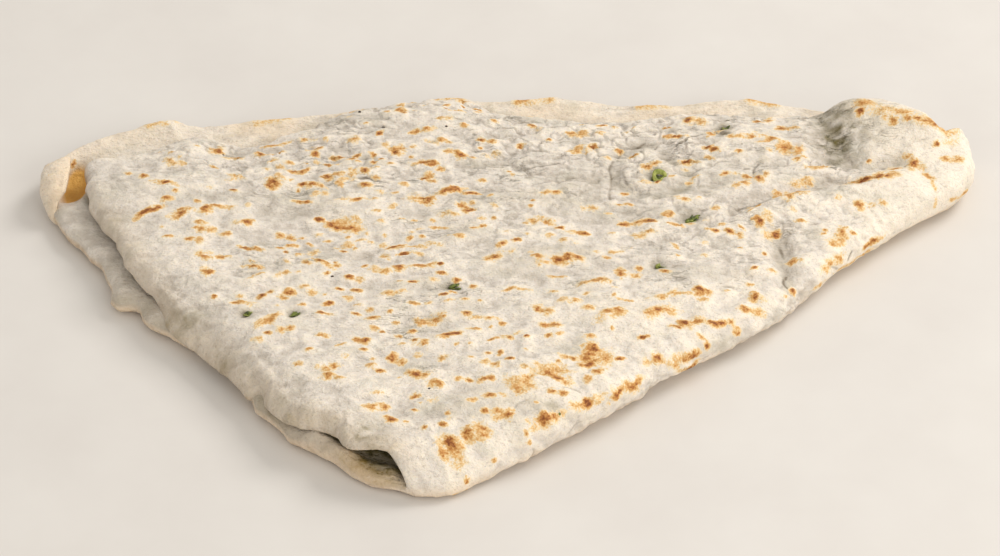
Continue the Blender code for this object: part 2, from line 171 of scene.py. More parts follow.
# Tears in the top with a piece of herb in each: place, length, width, turn in degrees
TEARS = (
    (46, 38, 3.6, 3.2, 20), (56.5, 17.5, 6.0, 2.6, 25), (-66, -30, 2.6, 1.8, 10), (-80, -29, 3.4, 1.6, 30),
    (-18.5, -16, 2.8, 1.6, 0), (45, -5.5, 2.6, 1.6, 15), (12.5, -70.5, 3.0, 1.6, 20), (69, 65, 3.0, 1.8, 5),
)

# How finely the visible bread is meshed
COLUMNS = 480
HIDDEN_ROWS = 60
RIM_ROWS = 46
RIM_SHOWING = 32.0
NOSE_ROWS = 40
UPPER_ROWS = 310
CLEFT_COLUMNS = 110
EDGE_ROWS = 12
THINNING = 3
EDGE_STEPS = (0.0, 0.3, 0.7, 1.2, 1.8, 2.6, 3.5, 4.5, 5.7)
FOLD_LENGTH = 222.0
LEAF_DEPTH = 170.0
# The herb field carries both the herbs that show through and painted shade; the gold field also carries
# painted warm shade.
FIELDS = ("browning", "cream", "crease", "wrinkled", "herb", "gold")

# The scorch marks that stand out: place on the unrolled top, length, width and turn in degrees
SCORCH_MARKS = (
    (-107, 47, 5, 6, 40), (-109, 34, 8, 2, -25), (-95, 55, 5, 6, 0), (-87, 37, 4, 7, 80),
    (-90, 22, 8, 2, 0), (-95, 21, 4, 4, 0), (-75, 59, 8, 2, 8), (-74, 36, 6, 6, 30), (-67, 41, 6, 2, 0),
    (-63, 34, 8, 3, 4), (-58, 38, 4, 3, 0), (-60, 29, 5, 3, 5), (-65, 60, 5, 3, 0), (-50, 58, 4, 4, 0),
    (-38, 54, 7, 5, -20), (-48, 41, 6, 5, 0), (-50, 27, 9, 2, 8), (-52, 14, 10, 6, -6),
    (-28, 27, 8, 6, -15), (-19, 31, 8, 3, 20), (-25, 38, 5, 5, -30), (-23, 57, 4, 7, 60),
    (-94, -2, 4, 7, 80), (-88, -2, 5, 3, 0), (-80, 2, 6, 3, -20), (-80, -6, 4, 6, 80), (-93, -10, 4, 4, 0),
    (-70, 9, 6, 3, -25), (-57, -6, 3, 8, 75), (-36, 3, 2, 8, 88), (-26, 4, 7, 2, 0), (-31, 0, 7, 2, 2),
    (-27, -7, 8, 2, 6), (-48, -13, 5, 3, 5), (-36, -21, 7, 3, 0), (21, 10, 7, 3, 0), (41, 9, 8, 2, 10),
    (18, -3, 10, 5, -8), (10, -5, 4, 5, 0), (26, -15, 9, 3, 4), (39, -11, 4, 3, 0), (34, -10, 4, 4, 0),
    (2, -18, 9, 2, 0), (18, -24, 7, 3, 8), (10, -28, 5, 4, 0), (59, -17, 5, 4, 8), (48, -20, 12, 2, 16),
    (30, -30, 9, 4, 20), (45, -28, 11, 5, 14), (55, -30, 7, 5, 10), (12, -34, 6, 4, 0), (-8, -32, 7, 2, -8),
    (-18, -40, 7, 3, 10), (-3, -41, 7, 2, 0), (25, -48, 9, 11, -30), (14, -55, 6, 13, 78),
    (14, -63, 5, 4, 0), (3, -60, 7, 9, 30), (-7, -59, 5, 3, 0), (-4, -66, 7, 3, 0), (43, -47, 7, 5, 15),
    (54, -43, 11, 5, 25), (59, -47, 8, 4, 30), (36, -58, 13, 4, 36), (24, -66, 11, 4, 38),
    (-11, -78, 7, 7, 20), (-17, -85, 6, 10, 60), (-23, -67, 4, 3, 0), (-2, -73, 5, 5, 0),
    (10, -74, 10, 4, 30), (60, 69, 6, 6, 20), (76, 59, 6, 2, 0), (83, 58, 4, 9, 80), (91, 54, 7, 7, 0),
    (70, 40, 5, 3, 10), (80, 38, 4, 5, 0), (98, 44, 8, 3, 12), (120, 40, 8, 6, 10), (130.5, 46.5, 5, 5, 0),
    (114, 71, 6, 4, 50), (122.5, 65, 5, 4, 0), (130, 64, 6, 4, 0), (135, 61.5, 6, 3, -25),
    (141.5, 50.5, 6, 4, 20), (133, 41.5, 3, 4, 60), (126, 45, 7, 4, 0), (90, 27, 7, 5, 32),
    (110, 37, 9, 5, 22), (110, 26, 4, 4, 0), (116, 27, 5, 3, 0), (79, 17, 6, 5, 35), (70, 9, 5, 5, 0),
    (82, 12, 6, 4, 20), (103, 10, 8, 5, 52), (101, 1, 10, 4, 48), (117, 13, 9, 3, 42), (45, 43, 6, 3, 20),
    (43, 36, 4, 4, 0), (54, 27, 5, 3, -30), (54, 14, 7, 3, 8), (-12, 85, 9, 3, -5), (10, 77, 10, 3, 0),
)

# Sharp creases of the top, darkened with painted shade that is olive where the herbs show: each a curve, with
# its width and how dark it is
CREASES = (
    (((71, 23.5), (78.5, 26.5), (85.5, 29.5)), 1.1, 0.62), (((85.5, 29.5), (92, 34), (97, 37)), 1.3, 0.5),
    (((97, 37), (101, 38.5), (106, 39.5)), 0.7, 0.4),
    (((103, 53), (106, 51), (109.5, 51.5), (114, 50.5)), 1.3, 0.45),
    (((34, 50), (35.5, 53), (37.5, 54.5), (43.5, 57)), 1.0, 0.7),
    (((42, 52), (43, 49), (42, 46.5), (39.5, 44.5)), 0.9, 0.65), (((34.5, 46.5), (37.5, 44.5)), 0.8, 0.6),
    (((33, 46), (32, 41.5), (32, 34.5), (32, 27)), 0.9, 0.65),
    (((36, 40.5), (36.5, 36.5), (37, 34.5)), 0.8, 0.6), (((48.5, 49.5), (50.5, 48)), 0.8, 0.6),
    (((56, 52), (61, 48.5), (69, 48), (76.5, 51.5)), 1.1, 0.5),
    (((77, 38), (77.5, 41.5), (79, 45.5)), 0.7, 0.7), (((66, 62.5), (71, 60.5)), 1.6, 0.7),
    (((40, 20), (44, 21)), 0.8, 0.5), (((51, 36.5), (51.5, 33.5), (52.5, 32)), 0.9, 0.6),
    (((50, 27), (54.5, 24)), 0.7, 0.4), (((54.5, 20), (58, 22), (61.5, 22.5)), 0.8, 0.5),
    (((84, 7), (85, 3)), 1.1, 0.75), (((86.5, 11), (86, 0.5), (84.5, -6.5)), 1.8, 0.45),
    (((85, -6), (85, -11), (86.5, -13)), 0.9, 0.85), (((108.5, 4.5), (109, 7)), 0.8, 0.8),
    (((141, 46.5), (141, 41), (141.5, 37)), 0.7, 0.35),
)

# Scorched lines and ridges: each a curve, with its width and strength
SCORCHED_LINES = (
    (((132, 44), (134, 39.5), (136.5, 32.5), (137.5, 30)), 0.9, 0.5),
    (((144, 34.5), (148.5, 37.5), (151, 41)), 1.2, 0.75), (((74.5, 59.5), (81, 61), (84, 62.5)), 0.8, 0.45),
    (((21, 55), (26, 54.5), (29, 53.5)), 0.8, 0.5),
    (((114, 73), (121, 68.5), (130, 65), (141, 59)), 3.0, 0.62), (((122, 47), (131, 46)), 2.2, 0.5),
    (((99, -9), (108, 0), (120, 9), (131, 17)), 1.6, 0.5), (((27, 79), (36, 75)), 0.9, 0.4),
    (((69, 79), (79, 77.5), (90, 76.5)), 0.9, 0.4), (((-2, 83), (-12, 86), (-24, 86.5)), 2.0, 0.7),
    (((7, 77.5), (17, 75.5)), 1.8, 0.7), (((-57, 78), (-46, 82)), 1.5, 0.6),
    (((-36, 84), (-30, 85)), 1.5, 0.6),
)

# Raised scorched stretches along the rim's edge, with their strength
RIM_SCORCH = (
    (((-118, 75), (-110, 77)), 0.7), (((-84, 80.5), (-74, 82)), 0.9), (((-30, 90), (-16, 92)), 0.9),
    (((3, 91), (15, 92.5)), 1.1), (((43, 88), (52, 89.5)), 0.7), (((80, 91.5), (88, 90.5)), 0.8),
)

# The scorched line in the fold where the curled lip leaves the rim
LIP_SCORCH = ((-141.6, 57), (-141.0, 58.5))

# Where the herbs show faintly through the dough: place, size and strength
HERB_PATCHES = (
    (-121, 36, 6, 0.4), (-41, -80, 6, 0.45), (104, 60, 7, 0.5), (109, 62, 7, 0.4), (106, 71, 8, 0.35),
    (16, 28, 6, 0.25), (60, 35, 9, 0.3), (80, 47, 7, 0.3), (24, -21, 5, 0.25), (-54, 47, 7, 0.25),
    (-94, -31, 6, 0.2), (69, 61, 4, 0.6),
)

# Charred flecks of flour on the top: place and size
FLECKS = (
    (-92.5, 53.5, 1.2), (-49, 76.5, 0.9), (-41, 65.5, 1.1), (-54.5, -11.5, 0.9), (-10, -32.5, 0.9),
    (-20.5, 64.5, 0.7), (-1, 9.5, 0.7), (-24, -63, 0.8),
)

# Fine relief and herbs
BOX_MARGINS = (2.0, 1.5, 1.2)
EDGE_WOBBLE = 1.3
RAGGED_REACH = 5.5
MOUTH_EDGE = ((-59, -75), (-51, -79), (-46, -83), (-41, -86.5), (-35, -88))
MOUTH_ROLL_HEIGHT = 2.7
MOUTH_ROLL_WIDTH = 3.0
RIM_RIPPLE = 0.28
BLISTER_HEIGHT = 0.55
CREASE_DEPTH = 0.55
CREASE_COUNT = 260
PUCKER_DEPTH = 0.42
NOSE_RADIUS = 7.3
SCATTER_TRIES = 2700
GREENS_FRONT = ((-49, -72), (-20, -63), (20, -36), (50, -12), (80, 14))
GREENS_LEFT = ((-49, -72), (-66, -62), (-79, -42), (-99, -22), (-115.5, 2), (-128, 26), (-128, 44))
GREENS_REAR = ((-128, 44), (-104, 48), (-70, 52), (-20, 66), (40, 60), (86, 60))
GREENS_END = ((80, 14), (92, 36), (86, 60))
GREENS_COLUMNS = 150
GREENS_ROWS = 110
GREENS_LENGTH = 160.0
GREENS_DEPTH = 120.0
GREENS_CLEARANCE = 0.5
LEAST_GREENS = 0.3
GREENS_RAGGED = 1.6
SHREDS_IN_CLEFT = 260
SHRED_THICKNESS = 0.35
SHRED_SECTIONS = 6
SHRED_SIDES = ((1, 0), (0, 1), (-1, 0), (0, -1))
LEAF_TO_SHRED = 0.45
ONION_TURNS = 28
ONION_SIDES = 10
ONION_PLACE = (47.5, 38.5)
ONION_RADIUS = 1.75
ONION_WALL = 1.2
ONION_HEIGHT = 1.5
ONION_TILT = 0.5
ONION_LIFT = 1.0
FLECK_LIFT = 0.10
FLECK_SIDES = 8
FLECK_LATITUDES = (-0.9, -0.3, 0.3, 0.9)

# Camera and light, in metres and degrees
CAMERA_ELEVATION = 39.5
CAMERA_TARGET = (-0.00315, 0.00652, 0.0)
CAMERA_DISTANCE = 1.080
CAMERA_LENS = 123.95
CAMERA_SENSOR = 36
FLOOR_SIDE = 2.5
FLOOR_DROP = 0.0002
WORLD_COLOUR = (1.0, 0.975, 0.935, 1)
WORLD_STRENGTH = 0.69
LIGHTS = (
    ("key", (1.15, 0.85, 1.28), 0.8, 19.0, (1.0, 0.985, 0.970)),
    ("fill", (0.75, -1.05, 0.55), 1.0, 7.8, (1.0, 0.98, 0.945)),
)


def shade(r, g, b):
    """A colour as the eye names it, from 0 to 255, in the renderer's linear values."""
    values = (channel / 255 for channel in (r, g, b))
    return (*(v / 12.92 if v <= 0.04045 else ((v + 0.055) / 1.055) ** 2.4 for v in values), 1)


GREY_DOUGH = shade(203, 192, 178)
PALE_DOUGH = shade(226, 216, 203)
CREAM_DOUGH = shade(241, 229, 211)
GREEN_GREY_DOUGH = shade(208, 201, 183)
FLOUR_WHITE = shade(245, 238, 229)
FIBRE_SHADE = shade(188, 177, 163)
HERB_AND_SHADE_OLIVE = shade(104, 92, 42)
HERB_FLAKE = shade(74, 72, 40)
CREASE_SHADE_TINT = shade(88, 70, 40)
WRINKLE_SHADE = shade(132, 122, 98)
GOLD_AND_WARM_SHADE = shade(226, 176, 92)
HALO = shade(241, 227, 203)
PALE_AMBER = shade(234, 205, 156)
AMBER = shade(213, 163, 98)
BROWN = shade(182, 120, 58)
DARK_BROWN = shade(132, 74, 34)
COOKED_HERBS = (shade(38, 34, 14), shade(74, 66, 28), shade(112, 104, 52))
BRIGHT_HERBS = (shade(66, 74, 26), shade(130, 140, 56), shade(178, 180, 98))
CHARRED = (shade(30, 22, 14), shade(52, 36, 22), shade(84, 58, 34))
PALE_FLOOR = (shade(216, 210, 203), shade(222, 217, 210))
SUBSURFACE_RADIUS = (0.0016, 0.0012, 0.0008)


def route(points):
    """A smooth curve through the points, as a function of the share of its length."""
    knots = np.array(points, float)
    before = np.vstack([2 * knots[0] - knots[1], knots[:-1]])
    after = np.vstack([knots[1:], 2 * knots[-1] - knots[-2]])
    tangents = (after - before) / 2
    t = np.linspace(0, 1, 12, endpoint=False)[:, None]
    pieces = []
    for start, end, out, into in zip(knots[:-1], knots[1:], tangents[:-1], tangents[1:]):
        pieces.append(
            (2 * t**3 - 3 * t**2 + 1) * start + (t**3 - 2 * t**2 + t) * out
            + (3 * t**2 - 2 * t**3) * end + (t**3 - t**2) * into
        )
    line = np.vstack([*pieces, knots[-1:]])
    walked = np.concatenate([[0], np.cumsum(np.linalg.norm(np.diff(line, axis=0), axis=1))])
    return lambda share: np.stack(
        [np.interp(np.asarray(share) * walked[-1], walked, line[:, axis]) for axis in (0, 1)], axis=-1
    )


def distance_to(points, x, y, reach=None):
    """How far each place is from a curve through the points, with the reach standing for anything farther."""
    line = route(points)(np.linspace(0, 1, 90))
    if reach is not None:
        low, high = line.min(axis=0) - reach, line.max(axis=0) + reach
        near = (x > low[0]) & (x < high[0]) & (y > low[1]) & (y < high[1])
        nearest = np.full(np.shape(x), float(reach))
        nearest[near] = np.minimum(distance_to(points, x[near], y[near]), reach)
        return nearest
    nearest = np.full(np.shape(x), np.inf)
    for (ax, ay), (bx, by) in zip(line[:-1], line[1:]):
        span = (bx - ax) ** 2 + (by - ay) ** 2
        share = np.clip(((x - ax) * (bx - ax) + (y - ay) * (by - ay)) / span, 0, 1)
        nearest = np.minimum(nearest, np.hypot(x - ax - share * (bx - ax), y - ay - share * (by - ay)))
    return nearest


def inside(curves, x, y):
    """Whether each place lies inside the outline that the four curves of a leaf make."""
    front, left, rear, end = (route(curve)(np.linspace(0, 1, 120)) for curve in curves)
    outline = np.concatenate([front, end, rear[::-1], left[::-1]])
    within = np.zeros(np.shape(x), bool)
    for (ax, ay), (bx, by) in zip(outline, np.roll(outline, -1, axis=0)):
        if ay != by:
            crosses = ((ay > y) != (by > y)) & (x < (bx - ax) * (y - ay) / (by - ay) + ax)
            within ^= crosses
    return within


def bump(distance, width):
    """1 at no distance, fading smoothly over the width."""
    return np.exp(-((distance / width) ** 2))


def near_curve(points, x, y, width, reach=None):
    """1 on the curve through the points, fading over the width."""
    return bump(distance_to(points, x, y, reach), width)


def near_place(place, x, y, width):
    """1 at the place, fading over the width."""
    return bump(np.hypot(x - place[0], y - place[1]), width)


def noise(x, y, seed):
    """Smooth random hills, one or so to a unit, between -1 and 1."""
    size = 64
    lattice = np.random.default_rng(seed).uniform(-1, 1, (size, size))
    column, row = np.floor(x).astype(int), np.floor(y).astype(int)
    u, v = x - column, y - row
    u, v = u * u * (3 - 2 * u), v * v * (3 - 2 * v)

    def corner(right, up):
        return lattice[(row + up) % size, (column + right) % size]

    lower = corner(0, 0) * (1 - u) + corner(1, 0) * u
    upper = corner(0, 1) * (1 - u) + corner(1, 1) * u
    return lower * (1 - v) + upper * v


def turned(x, y, degrees):
    """Coordinates along and across a direction."""
    c, s = math.cos(math.radians(degrees)), math.sin(math.radians(degrees))
    return x * c + y * s, y * c - x * s


def patch(front, left, rear, end, a, b):
    """The place at share a along the front and share b towards the rear, inside four curves."""
    front_curve, left_curve, rear_curve, end_curve = route(front), route(left), route(rear), route(end)
    a, b = a[..., None], b[..., None]
    sides = (1 - b) * front_curve(a[..., 0]) + b * rear_curve(a[..., 0])
    ends = (1 - a) * left_curve(b[..., 0]) + a * end_curve(b[..., 0])
    corners = (
        (1 - a) * (1 - b) * np.array(front[0], float) + a * (1 - b) * np.array(front[-1], float)
        + (1 - a) * b * np.array(rear[0], float) + a * b * np.array(rear[-1], float)
    )
    return sides + ends - corners


def wave(x, y, length, width, seed, turn=0.0):
    """Noise whose hills are drawn out along a direction."""
    along, across = turned(x, y, turn)
    return noise(along / length + seed * 3.7, across / width + seed * 1.9, seed)


def step_up(value, low, high):
    """0 below low, 1 above high, smooth between."""
    share = np.clip((value - low) / (high - low), 0, 1)
    return share * share * (3 - 2 * share)


def wrinkles(x, y):
    """Relief of the top: broad waves, folds drawn out along the wedge, and the named folds."""
    along, across = turned(x, y, 4)
    relief = 0.75 * noise(x / 34, y / 26, 11) + 0.75 * noise(along / 17, across / 8.5, 12)
    relief += 0.42 * noise(along / 9, across / 5.0, 13)
    for line, width, height in FOLDS:
        relief += height * near_curve(line, x, y, width, 4 * width)
    for tear_x, tear_y, length, width, turn in TEARS:
        along, across = turned(x - tear_x, y - tear_y, turn)
        relief -= TEAR_DEPTH * bump(np.hypot(along / length, across / width), 1.0)
    return relief


def end_edge(curve, x, y):
    """Share of the full thickness towards the right end, which stays thick where it meets the fold."""
    corner = near_place(FOLD_CORNER, x, y, FOLD_CORNER_WIDTH)
    return np.maximum(rounded(distance_to(curve, x, y), RIM_ROUNDING), corner)


def side_drape(x, y):
    """How far the upper leaf hangs down over the lower one along the middle of the left side."""
    wobble = EDGE_WOBBLE * (noise(x / 8, y / 8, 24) + 0.3 * noise(x / 4, y / 4, 25))
    hang = DRAPE * near_curve(DRAPED_SIDE, x, y, DRAPE_REACH) * near_curve(UPPER_LEFT, x, y, DRAPE_WIDTH)
    return hang + wobble * near_curve(UPPER_LEFT, x, y, 4.5)


def tunnel(x, y):
    """The open loop at the left end of the front fold."""
    return near_place(TUNNEL_PLACE, x, y, TUNNEL_WIDTH)


def corner_lift(x, y):
    """The rim's raised roll at the rear-left corner."""
    return near_curve(CORNER_ROLL, x, y, CORNER_ROLL_WIDTH)


def pocket(x, y):
    """The hollow behind the curled lip, where the rim isn't sealed."""
    along, across = turned(x - POCKET_PLACE[0], y - POCKET_PLACE[1], POCKET_TURN)
    return bump((along / POCKET_LENGTH) ** 2 + (across / POCKET_WIDTH) ** 2, 1.0)


def lower_top(x, y):
    """Height of the lower leaf's upper face."""
    rim = near_curve(LOWER_REAR, x, y, RIM_WIDTH)
    end = near_curve(LOWER_END, x, y, RIM_WIDTH)
    front = near_curve(UPPER_AXIS, x, y, FRONT_SLOPE)
    height = LOWER_LEAF + (RIM_LEAF - LOWER_LEAF) * np.maximum(rim, end)
    height += (FRONT_LEAF - LOWER_LEAF) * front * (1 - np.maximum(rim, end))
    height += 0.8 * noise(x / 11, y / 7, 21) * rim + CORNER_ROLL_HEIGHT * corner_lift(x, y)
    height -= TUNNEL_DIP * tunnel(x, y)
    for line, _ in RIM_SCORCH:
        height += RIM_SCORCH_HEIGHT * near_curve(line, x, y, 3.2, 12)
    height += RIM_RIPPLE * (noise(x / 5, y / 4, 22) + 0.5 * noise(x / 2.3, y / 2, 23))
    return height + (POCKET_FLOOR - height) * pocket(x, y)


def mouth_roll(x, y):
    """The swollen, uneven edge of the lower leaf in front of the open loop."""
    uneven = 1 + 0.55 * noise(x / 3.4, y / 3.4, 26)
    return MOUTH_ROLL_HEIGHT * uneven * near_curve(MOUTH_EDGE, x, y, MOUTH_ROLL_WIDTH, 14)


def leaf_gap(x, y):
    """Clear height between the two leaves."""
    front = near_curve(UPPER_AXIS, x, y, GAP_SLOPE)
    end = near_curve(END_ROLL, x, y, GAP_SLOPE)
    rear = near_curve(UPPER_REAR, x, y, GAP_SLOPE)
    gap = LEAF_GAP + (FRONT_GAP - LEAF_GAP) * front + END_GAP * end + MOUTH_GAP * tunnel(x, y)
    return gap - (LEAF_GAP - LOWEST_GAP) * rear * (1 - end)


def lower_leaf(x, y):
    """Heights of the two faces of the lower leaf, rounded off at its free edges."""
    top = lower_top(x, y)
    side = rounded(distance_to(LOWER_LEFT, x, y), SIDE_ROUNDING)
    rear = rounded(distance_to(LOWER_REAR, x, y), RIM_ROUNDING)
    end = end_edge(LOWER_END, x, y)
    full = side * rear * end
    return top / 2 * (1 - full), top / 2 * (1 + full)


def upper_leaf(x, y, relief):
    """Heights of the two faces of the upper leaf, rounded off at its free edges."""
    base = lower_top(x, y) + leaf_gap(x, y)
    front = near_curve(UPPER_AXIS, x, y, FRONT_SLOPE)
    rear = near_curve(UPPER_REAR, x, y, REAR_SLOPE)
    left = distance_to(UPPER_LEFT, x, y)
    top = STACK_TOP - FALL_TO_FRONT * front - FALL_TO_REAR * rear - FALL_TO_LEFT * bump(left, LEFT_SLOPE)
    top = np.maximum(top + relief, base + LEAST_LEAF)
    over_leaf = base - lower_leaf(x, y)[1]
    past_leaf = base - lower_top(x, y) / 2 + HANG_SLOPE * distance_to(LOWER_LEFT, x, y)
    clear = np.where(inside(LOWER_OUTLINE, x, y), over_leaf, past_leaf) - LEAST_CLEARANCE
    hang = np.minimum(side_drape(x, y), clear)
    side = rounded(left, SIDE_ROUNDING)
    back = rounded(distance_to(UPPER_REAR, x, y), RIM_ROUNDING)
    end = end_edge(UPPER_END, x, y)
    tip = base + (top - base) * (0.5 - 0.3 * bump(left, SIDE_ROUNDING))
    full = side * back * end
    return tip - hang - (tip - base) * full, tip - hang + (top - tip) * full


def top_surface(x, y):
    """Height of the top, also where it starts to bend down past the axis of the front fold."""
    relief = wrinkles(x, y)
    relief += fine_relief(x, y, np.zeros(x.shape), np.zeros(x.shape))
    past = np.where(inside(UPPER_OUTLINE, x, y), 0, distance_to(UPPER_AXIS, x, y))
    return upper_leaf(x, y, relief)[1] - NOSE_RADIUS * (1 - np.cos(np.minimum(past / NOSE_RADIUS, 1)))


def rounded(distance, radius):
    """Share of the full thickness at this distance from an edge: a quarter round."""
    inward = np.clip(distance / radius, 0, 1)
    return np.sqrt(np.clip(1 - (1 - inward) ** 2, 0, 1))


# Browning


def split_mark(mark, draw):
    """A large scorch mark as two or three overlapping lobes."""
    x, y, length, width, turn = mark
    count = 1 if max(length, width) < 4.5 else 2 if max(length, width) < 8 else 3
    lobes = []
    for i in range(count):
        along = 0 if count == 1 else length * (i / (count - 1) - 0.5) * 0.55
        across = 0 if count == 1 else width * draw.uniform(-0.22, 0.22)
        size = 1 if count == 1 else draw.uniform(0.55, 0.8)
        lean = turn + draw.uniform(-25, 25) * (count > 1)
        strength = 0.42 + 0.58 * draw.uniform(0, 1) ** 0.8
        away_x, away_y = turned(along, across, -turn)
        lobes.append((x + away_x, y + away_y, length * size, width * min(size * 1.25, 1), lean, strength))
    return lobes


def browning_density(x, y):
    """How likely a small mark is at a place: none on the pale band at the left, most in the left middle."""
    left = step_up(distance_to(UPPER_LEFT, x, y), 10, 19)
    rear = step_up(distance_to(UPPER_REAR, x, y), 2, 7) * (1 - near_curve(VALLEY, x, y, 8))
    right = 1 - 0.42 * step_up(x, -50, 10) - 0.34 * step_up(x, 40, 110)
    clumps = 0.35 + 0.65 * step_up(wave(x, y, 22, 15, 71), -0.35, 0.5)
    return left * rear * right * clumps


def scattered_marks(seed, tries, taken):
    """Small marks strewn between the ones that stand out."""
    draw = np.random.default_rng(seed)
    x, y = draw.uniform(-132, 138, tries), draw.uniform(-98, 84, tries)
    within = inside(UPPER_OUTLINE, x, y) | (distance_to(LOWER_AXIS, x, y) < 9)
    keep = within & (draw.uniform(0, 1, tries) < browning_density(x, y))
    marks = []
    for place_x, place_y in zip(x[keep], y[keep]):
        length = float(np.clip(draw.lognormal(1.2, 0.5), 1.6, 8.0))
        width = float(np.clip(length * draw.uniform(0.35, 0.8), 1.3, 4.0))
        if not any(
            math.hypot((m[0] - place_x) * 0.8, m[1] - place_y) < (m[2] + length) * 0.40 for m in taken + marks
        ):
            marks.append((place_x, place_y, length, width, draw.normal(4, 20)))
    return marks


def browning(x, y, marks, seed):
    """Browning and the pale swelling round it, each from 0 to 1, on the unrolled dough."""
    draw = np.random.default_rng(seed)
    fray = 0.34 * noise(x / 2.3, y / 1.6, 61) + 0.20 * noise(x / 1.1, y / 0.9, 62)
    patchy = np.clip(0.98 + 0.42 * noise(x / 1.6, y / 1.2, 63), 0, 1.25)
    brown, swollen = np.zeros(x.shape), np.zeros(x.shape)
    for mark in marks:
        for lobe_x, lobe_y, length, width, turn, strength in split_mark(mark, draw):
            reach = 1.1 * max(length, width) + 2
            near = (np.abs(x - lobe_x) < reach) & (np.abs(y - lobe_y) < reach)
            if not near.any():
                continue
            along, across = turned(x[near] - lobe_x, y[near] - lobe_y, turn)
            away = np.hypot(along / (length / 2), across / (width / 2))
            heat = strength * step_up(-(away + fray[near]), -1.85, 0.15) * patchy[near]
            swell = bump(np.hypot(along / (length / 2 + 1.4), across / (width / 2 + 1.2)), 1.0)
            brown[near] = np.maximum(brown[near], heat)
            swollen[near] = np.maximum(swollen[near], swell)
    return brown, swollen


def scorched_lines(x, y):
    """Browning along the raised folds and edges, broken up along its length."""
    broken = np.clip(0.75 + 0.6 * wave(x, y, 4.5, 3.0, 64), 0, 1)
    lines = np.zeros(x.shape)
    for points, width, strength in SCORCHED_LINES:
        lines = np.maximum(lines, strength * broken * near_curve(points, x, y, width, 4 * width))
    return lines


def named_creases(x, y):
    """The sharp creases of the top as lines of painted shade, swaying a little and broken up along their
    length.
    """
    lines = np.zeros(x.shape)
    sway_x, sway_y = x + 0.7 * wave(x, y, 4.1, 4.1, 85), y + 0.7 * wave(x, y, 3.6, 3.6, 87)
    broken = np.clip(0.9 + 0.45 * wave(x, y, 4.2, 4.2, 86), 0, 1)
    for points, width, dark in CREASES:
        stroke = near_curve(points, sway_x, sway_y, 0.85 * width, 4 * width)
        lines = np.maximum(lines, dark * broken * stroke)
    return lines


def crease_lines(x, y):
    """The sharp creases, and fine wrinkles mostly along the wedge, as thin bent lines: dents in the top that
    the colour darkens with painted shade.
    """
    draw = np.random.default_rng(81)
    lines = named_creases(x, y)
    for _ in range(CREASE_COUNT):
        place_x, place_y = draw.uniform(-135, 140), draw.uniform(-98, 85)
        length = float(np.clip(draw.lognormal(1.9, 0.5), 3.0, 22.0))
        turn = draw.normal(6 + 14 * (place_x > 50), 20)
        width = draw.uniform(0.45, 0.75)
        depth = draw.uniform(0.2, 0.6) * (0.45 + 0.55 * (place_x > 0 or place_y > 20) + 0.4 * (place_y > 35))
        bend, phase = draw.normal(0, 0.02), draw.uniform(0, math.tau)
        near = (np.abs(x - place_x) < 0.6 * length) & (np.abs(y - place_y) < 0.6 * length)
        if not near.any():
            continue
        along, across = turned(x[near] - place_x, y[near] - place_y, turn)
        across = across - bend * along**2 - 0.35 * np.sin(0.8 * along + phase)
        stroke = depth * bump(across, width) * step_up(-np.abs(along), -length / 2, -length / 6)
        lines[near] = np.maximum(lines[near], stroke)
    return lines


# The visible bread


def shares(count, length, at_start=True, at_end=True):
    """Shares from 0 to 1, with the rows of a rounded edge packed close."""
    first = np.array(EDGE_STEPS) / length if at_start else np.zeros(1)
    last = 1 - np.array(EDGE_STEPS[::-1]) / length if at_end else np.ones(1)
    middle = np.linspace(first[-1], last[0], count - len(first) - len(last) + 2)
    return np.concatenate([first[:-1], middle, last[1:]])


def ragged(place, edge, held, size, lean, seed):
    """The places near a free edge pushed about in plan, but not where the edge is held.

    The lean moves the whole edge out towards the left, as a share of the size.
    """
    x, y = place[..., 0], place[..., 1]
    near = size * near_curve(edge, x, y, RAGGED_REACH)
    near *= step_up(distance_to(held, x, y), 0, 2 * RAGGED_REACH)
    push_x, push_y = (
        noise(x / 8.5, y / 8.5, first) + 0.3 * noise(x / 3.6, y / 3.6, first + 1)
        for first in (seed, seed + 2)
    )
    return place + np.stack([near * (push_x - 0.8 * lean), near * (push_y - 0.6 * lean)], axis=-1)


def smooth_end(x, y):
    """The thick right end beyond the valley, where the dough is smooth."""
    return step_up(x + 0.35 * y, 122, 142)


def fine_relief(x, y, swollen, crease):
    """Relief that is too fine for the folds: grain, a blister under each mark, and the wrinkles."""
    fine = 0.46 * wave(x, y, 6.0, 3.8, 51, 6) + 0.38 * wave(x, y, 2.9, 2.1, 52, -8)
    fine += 0.12 * wave(x, y, 1.6, 1.3, 53, 15)
    fine *= 1 - 0.55 * near_curve(UPPER_LEFT, x, y, 11) + 0.35 * step_up(y, 25, 60) - 0.7 * smooth_end(x, y)
    return fine + BLISTER_HEIGHT * swollen - CREASE_DEPTH * crease - PUCKER_DEPTH * puckers(x, y)


def puckers(x, y):
    """A broken network of narrow valleys between swellings, strongest towards the rear and the right."""
    drift = 0.35 * wave(x, y, 3.4, 2.6, 57) + 0.2 * wave(x, y, 1.9, 1.5, 58)
    network = step_up(-np.abs(wave(x, y, 9.5, 5.5, 54, 8) + drift), -0.16, -0.01)
    network += step_up(-np.abs(wave(x, y, 6.0, 3.6, 59, -4) + drift), -0.16, -0.01)
    where = step_up(wave(x, y, 26, 17, 60) + 0.004 * x + 0.006 * y, -0.35, 0.45)
    rear = 1 + 0.5 * step_up(y, 25, 60) - 1.3 * smooth_end(x, y)
    return np.clip(network, 0, 1) * (0.25 + 0.75 * where) * np.maximum(rear, 0)


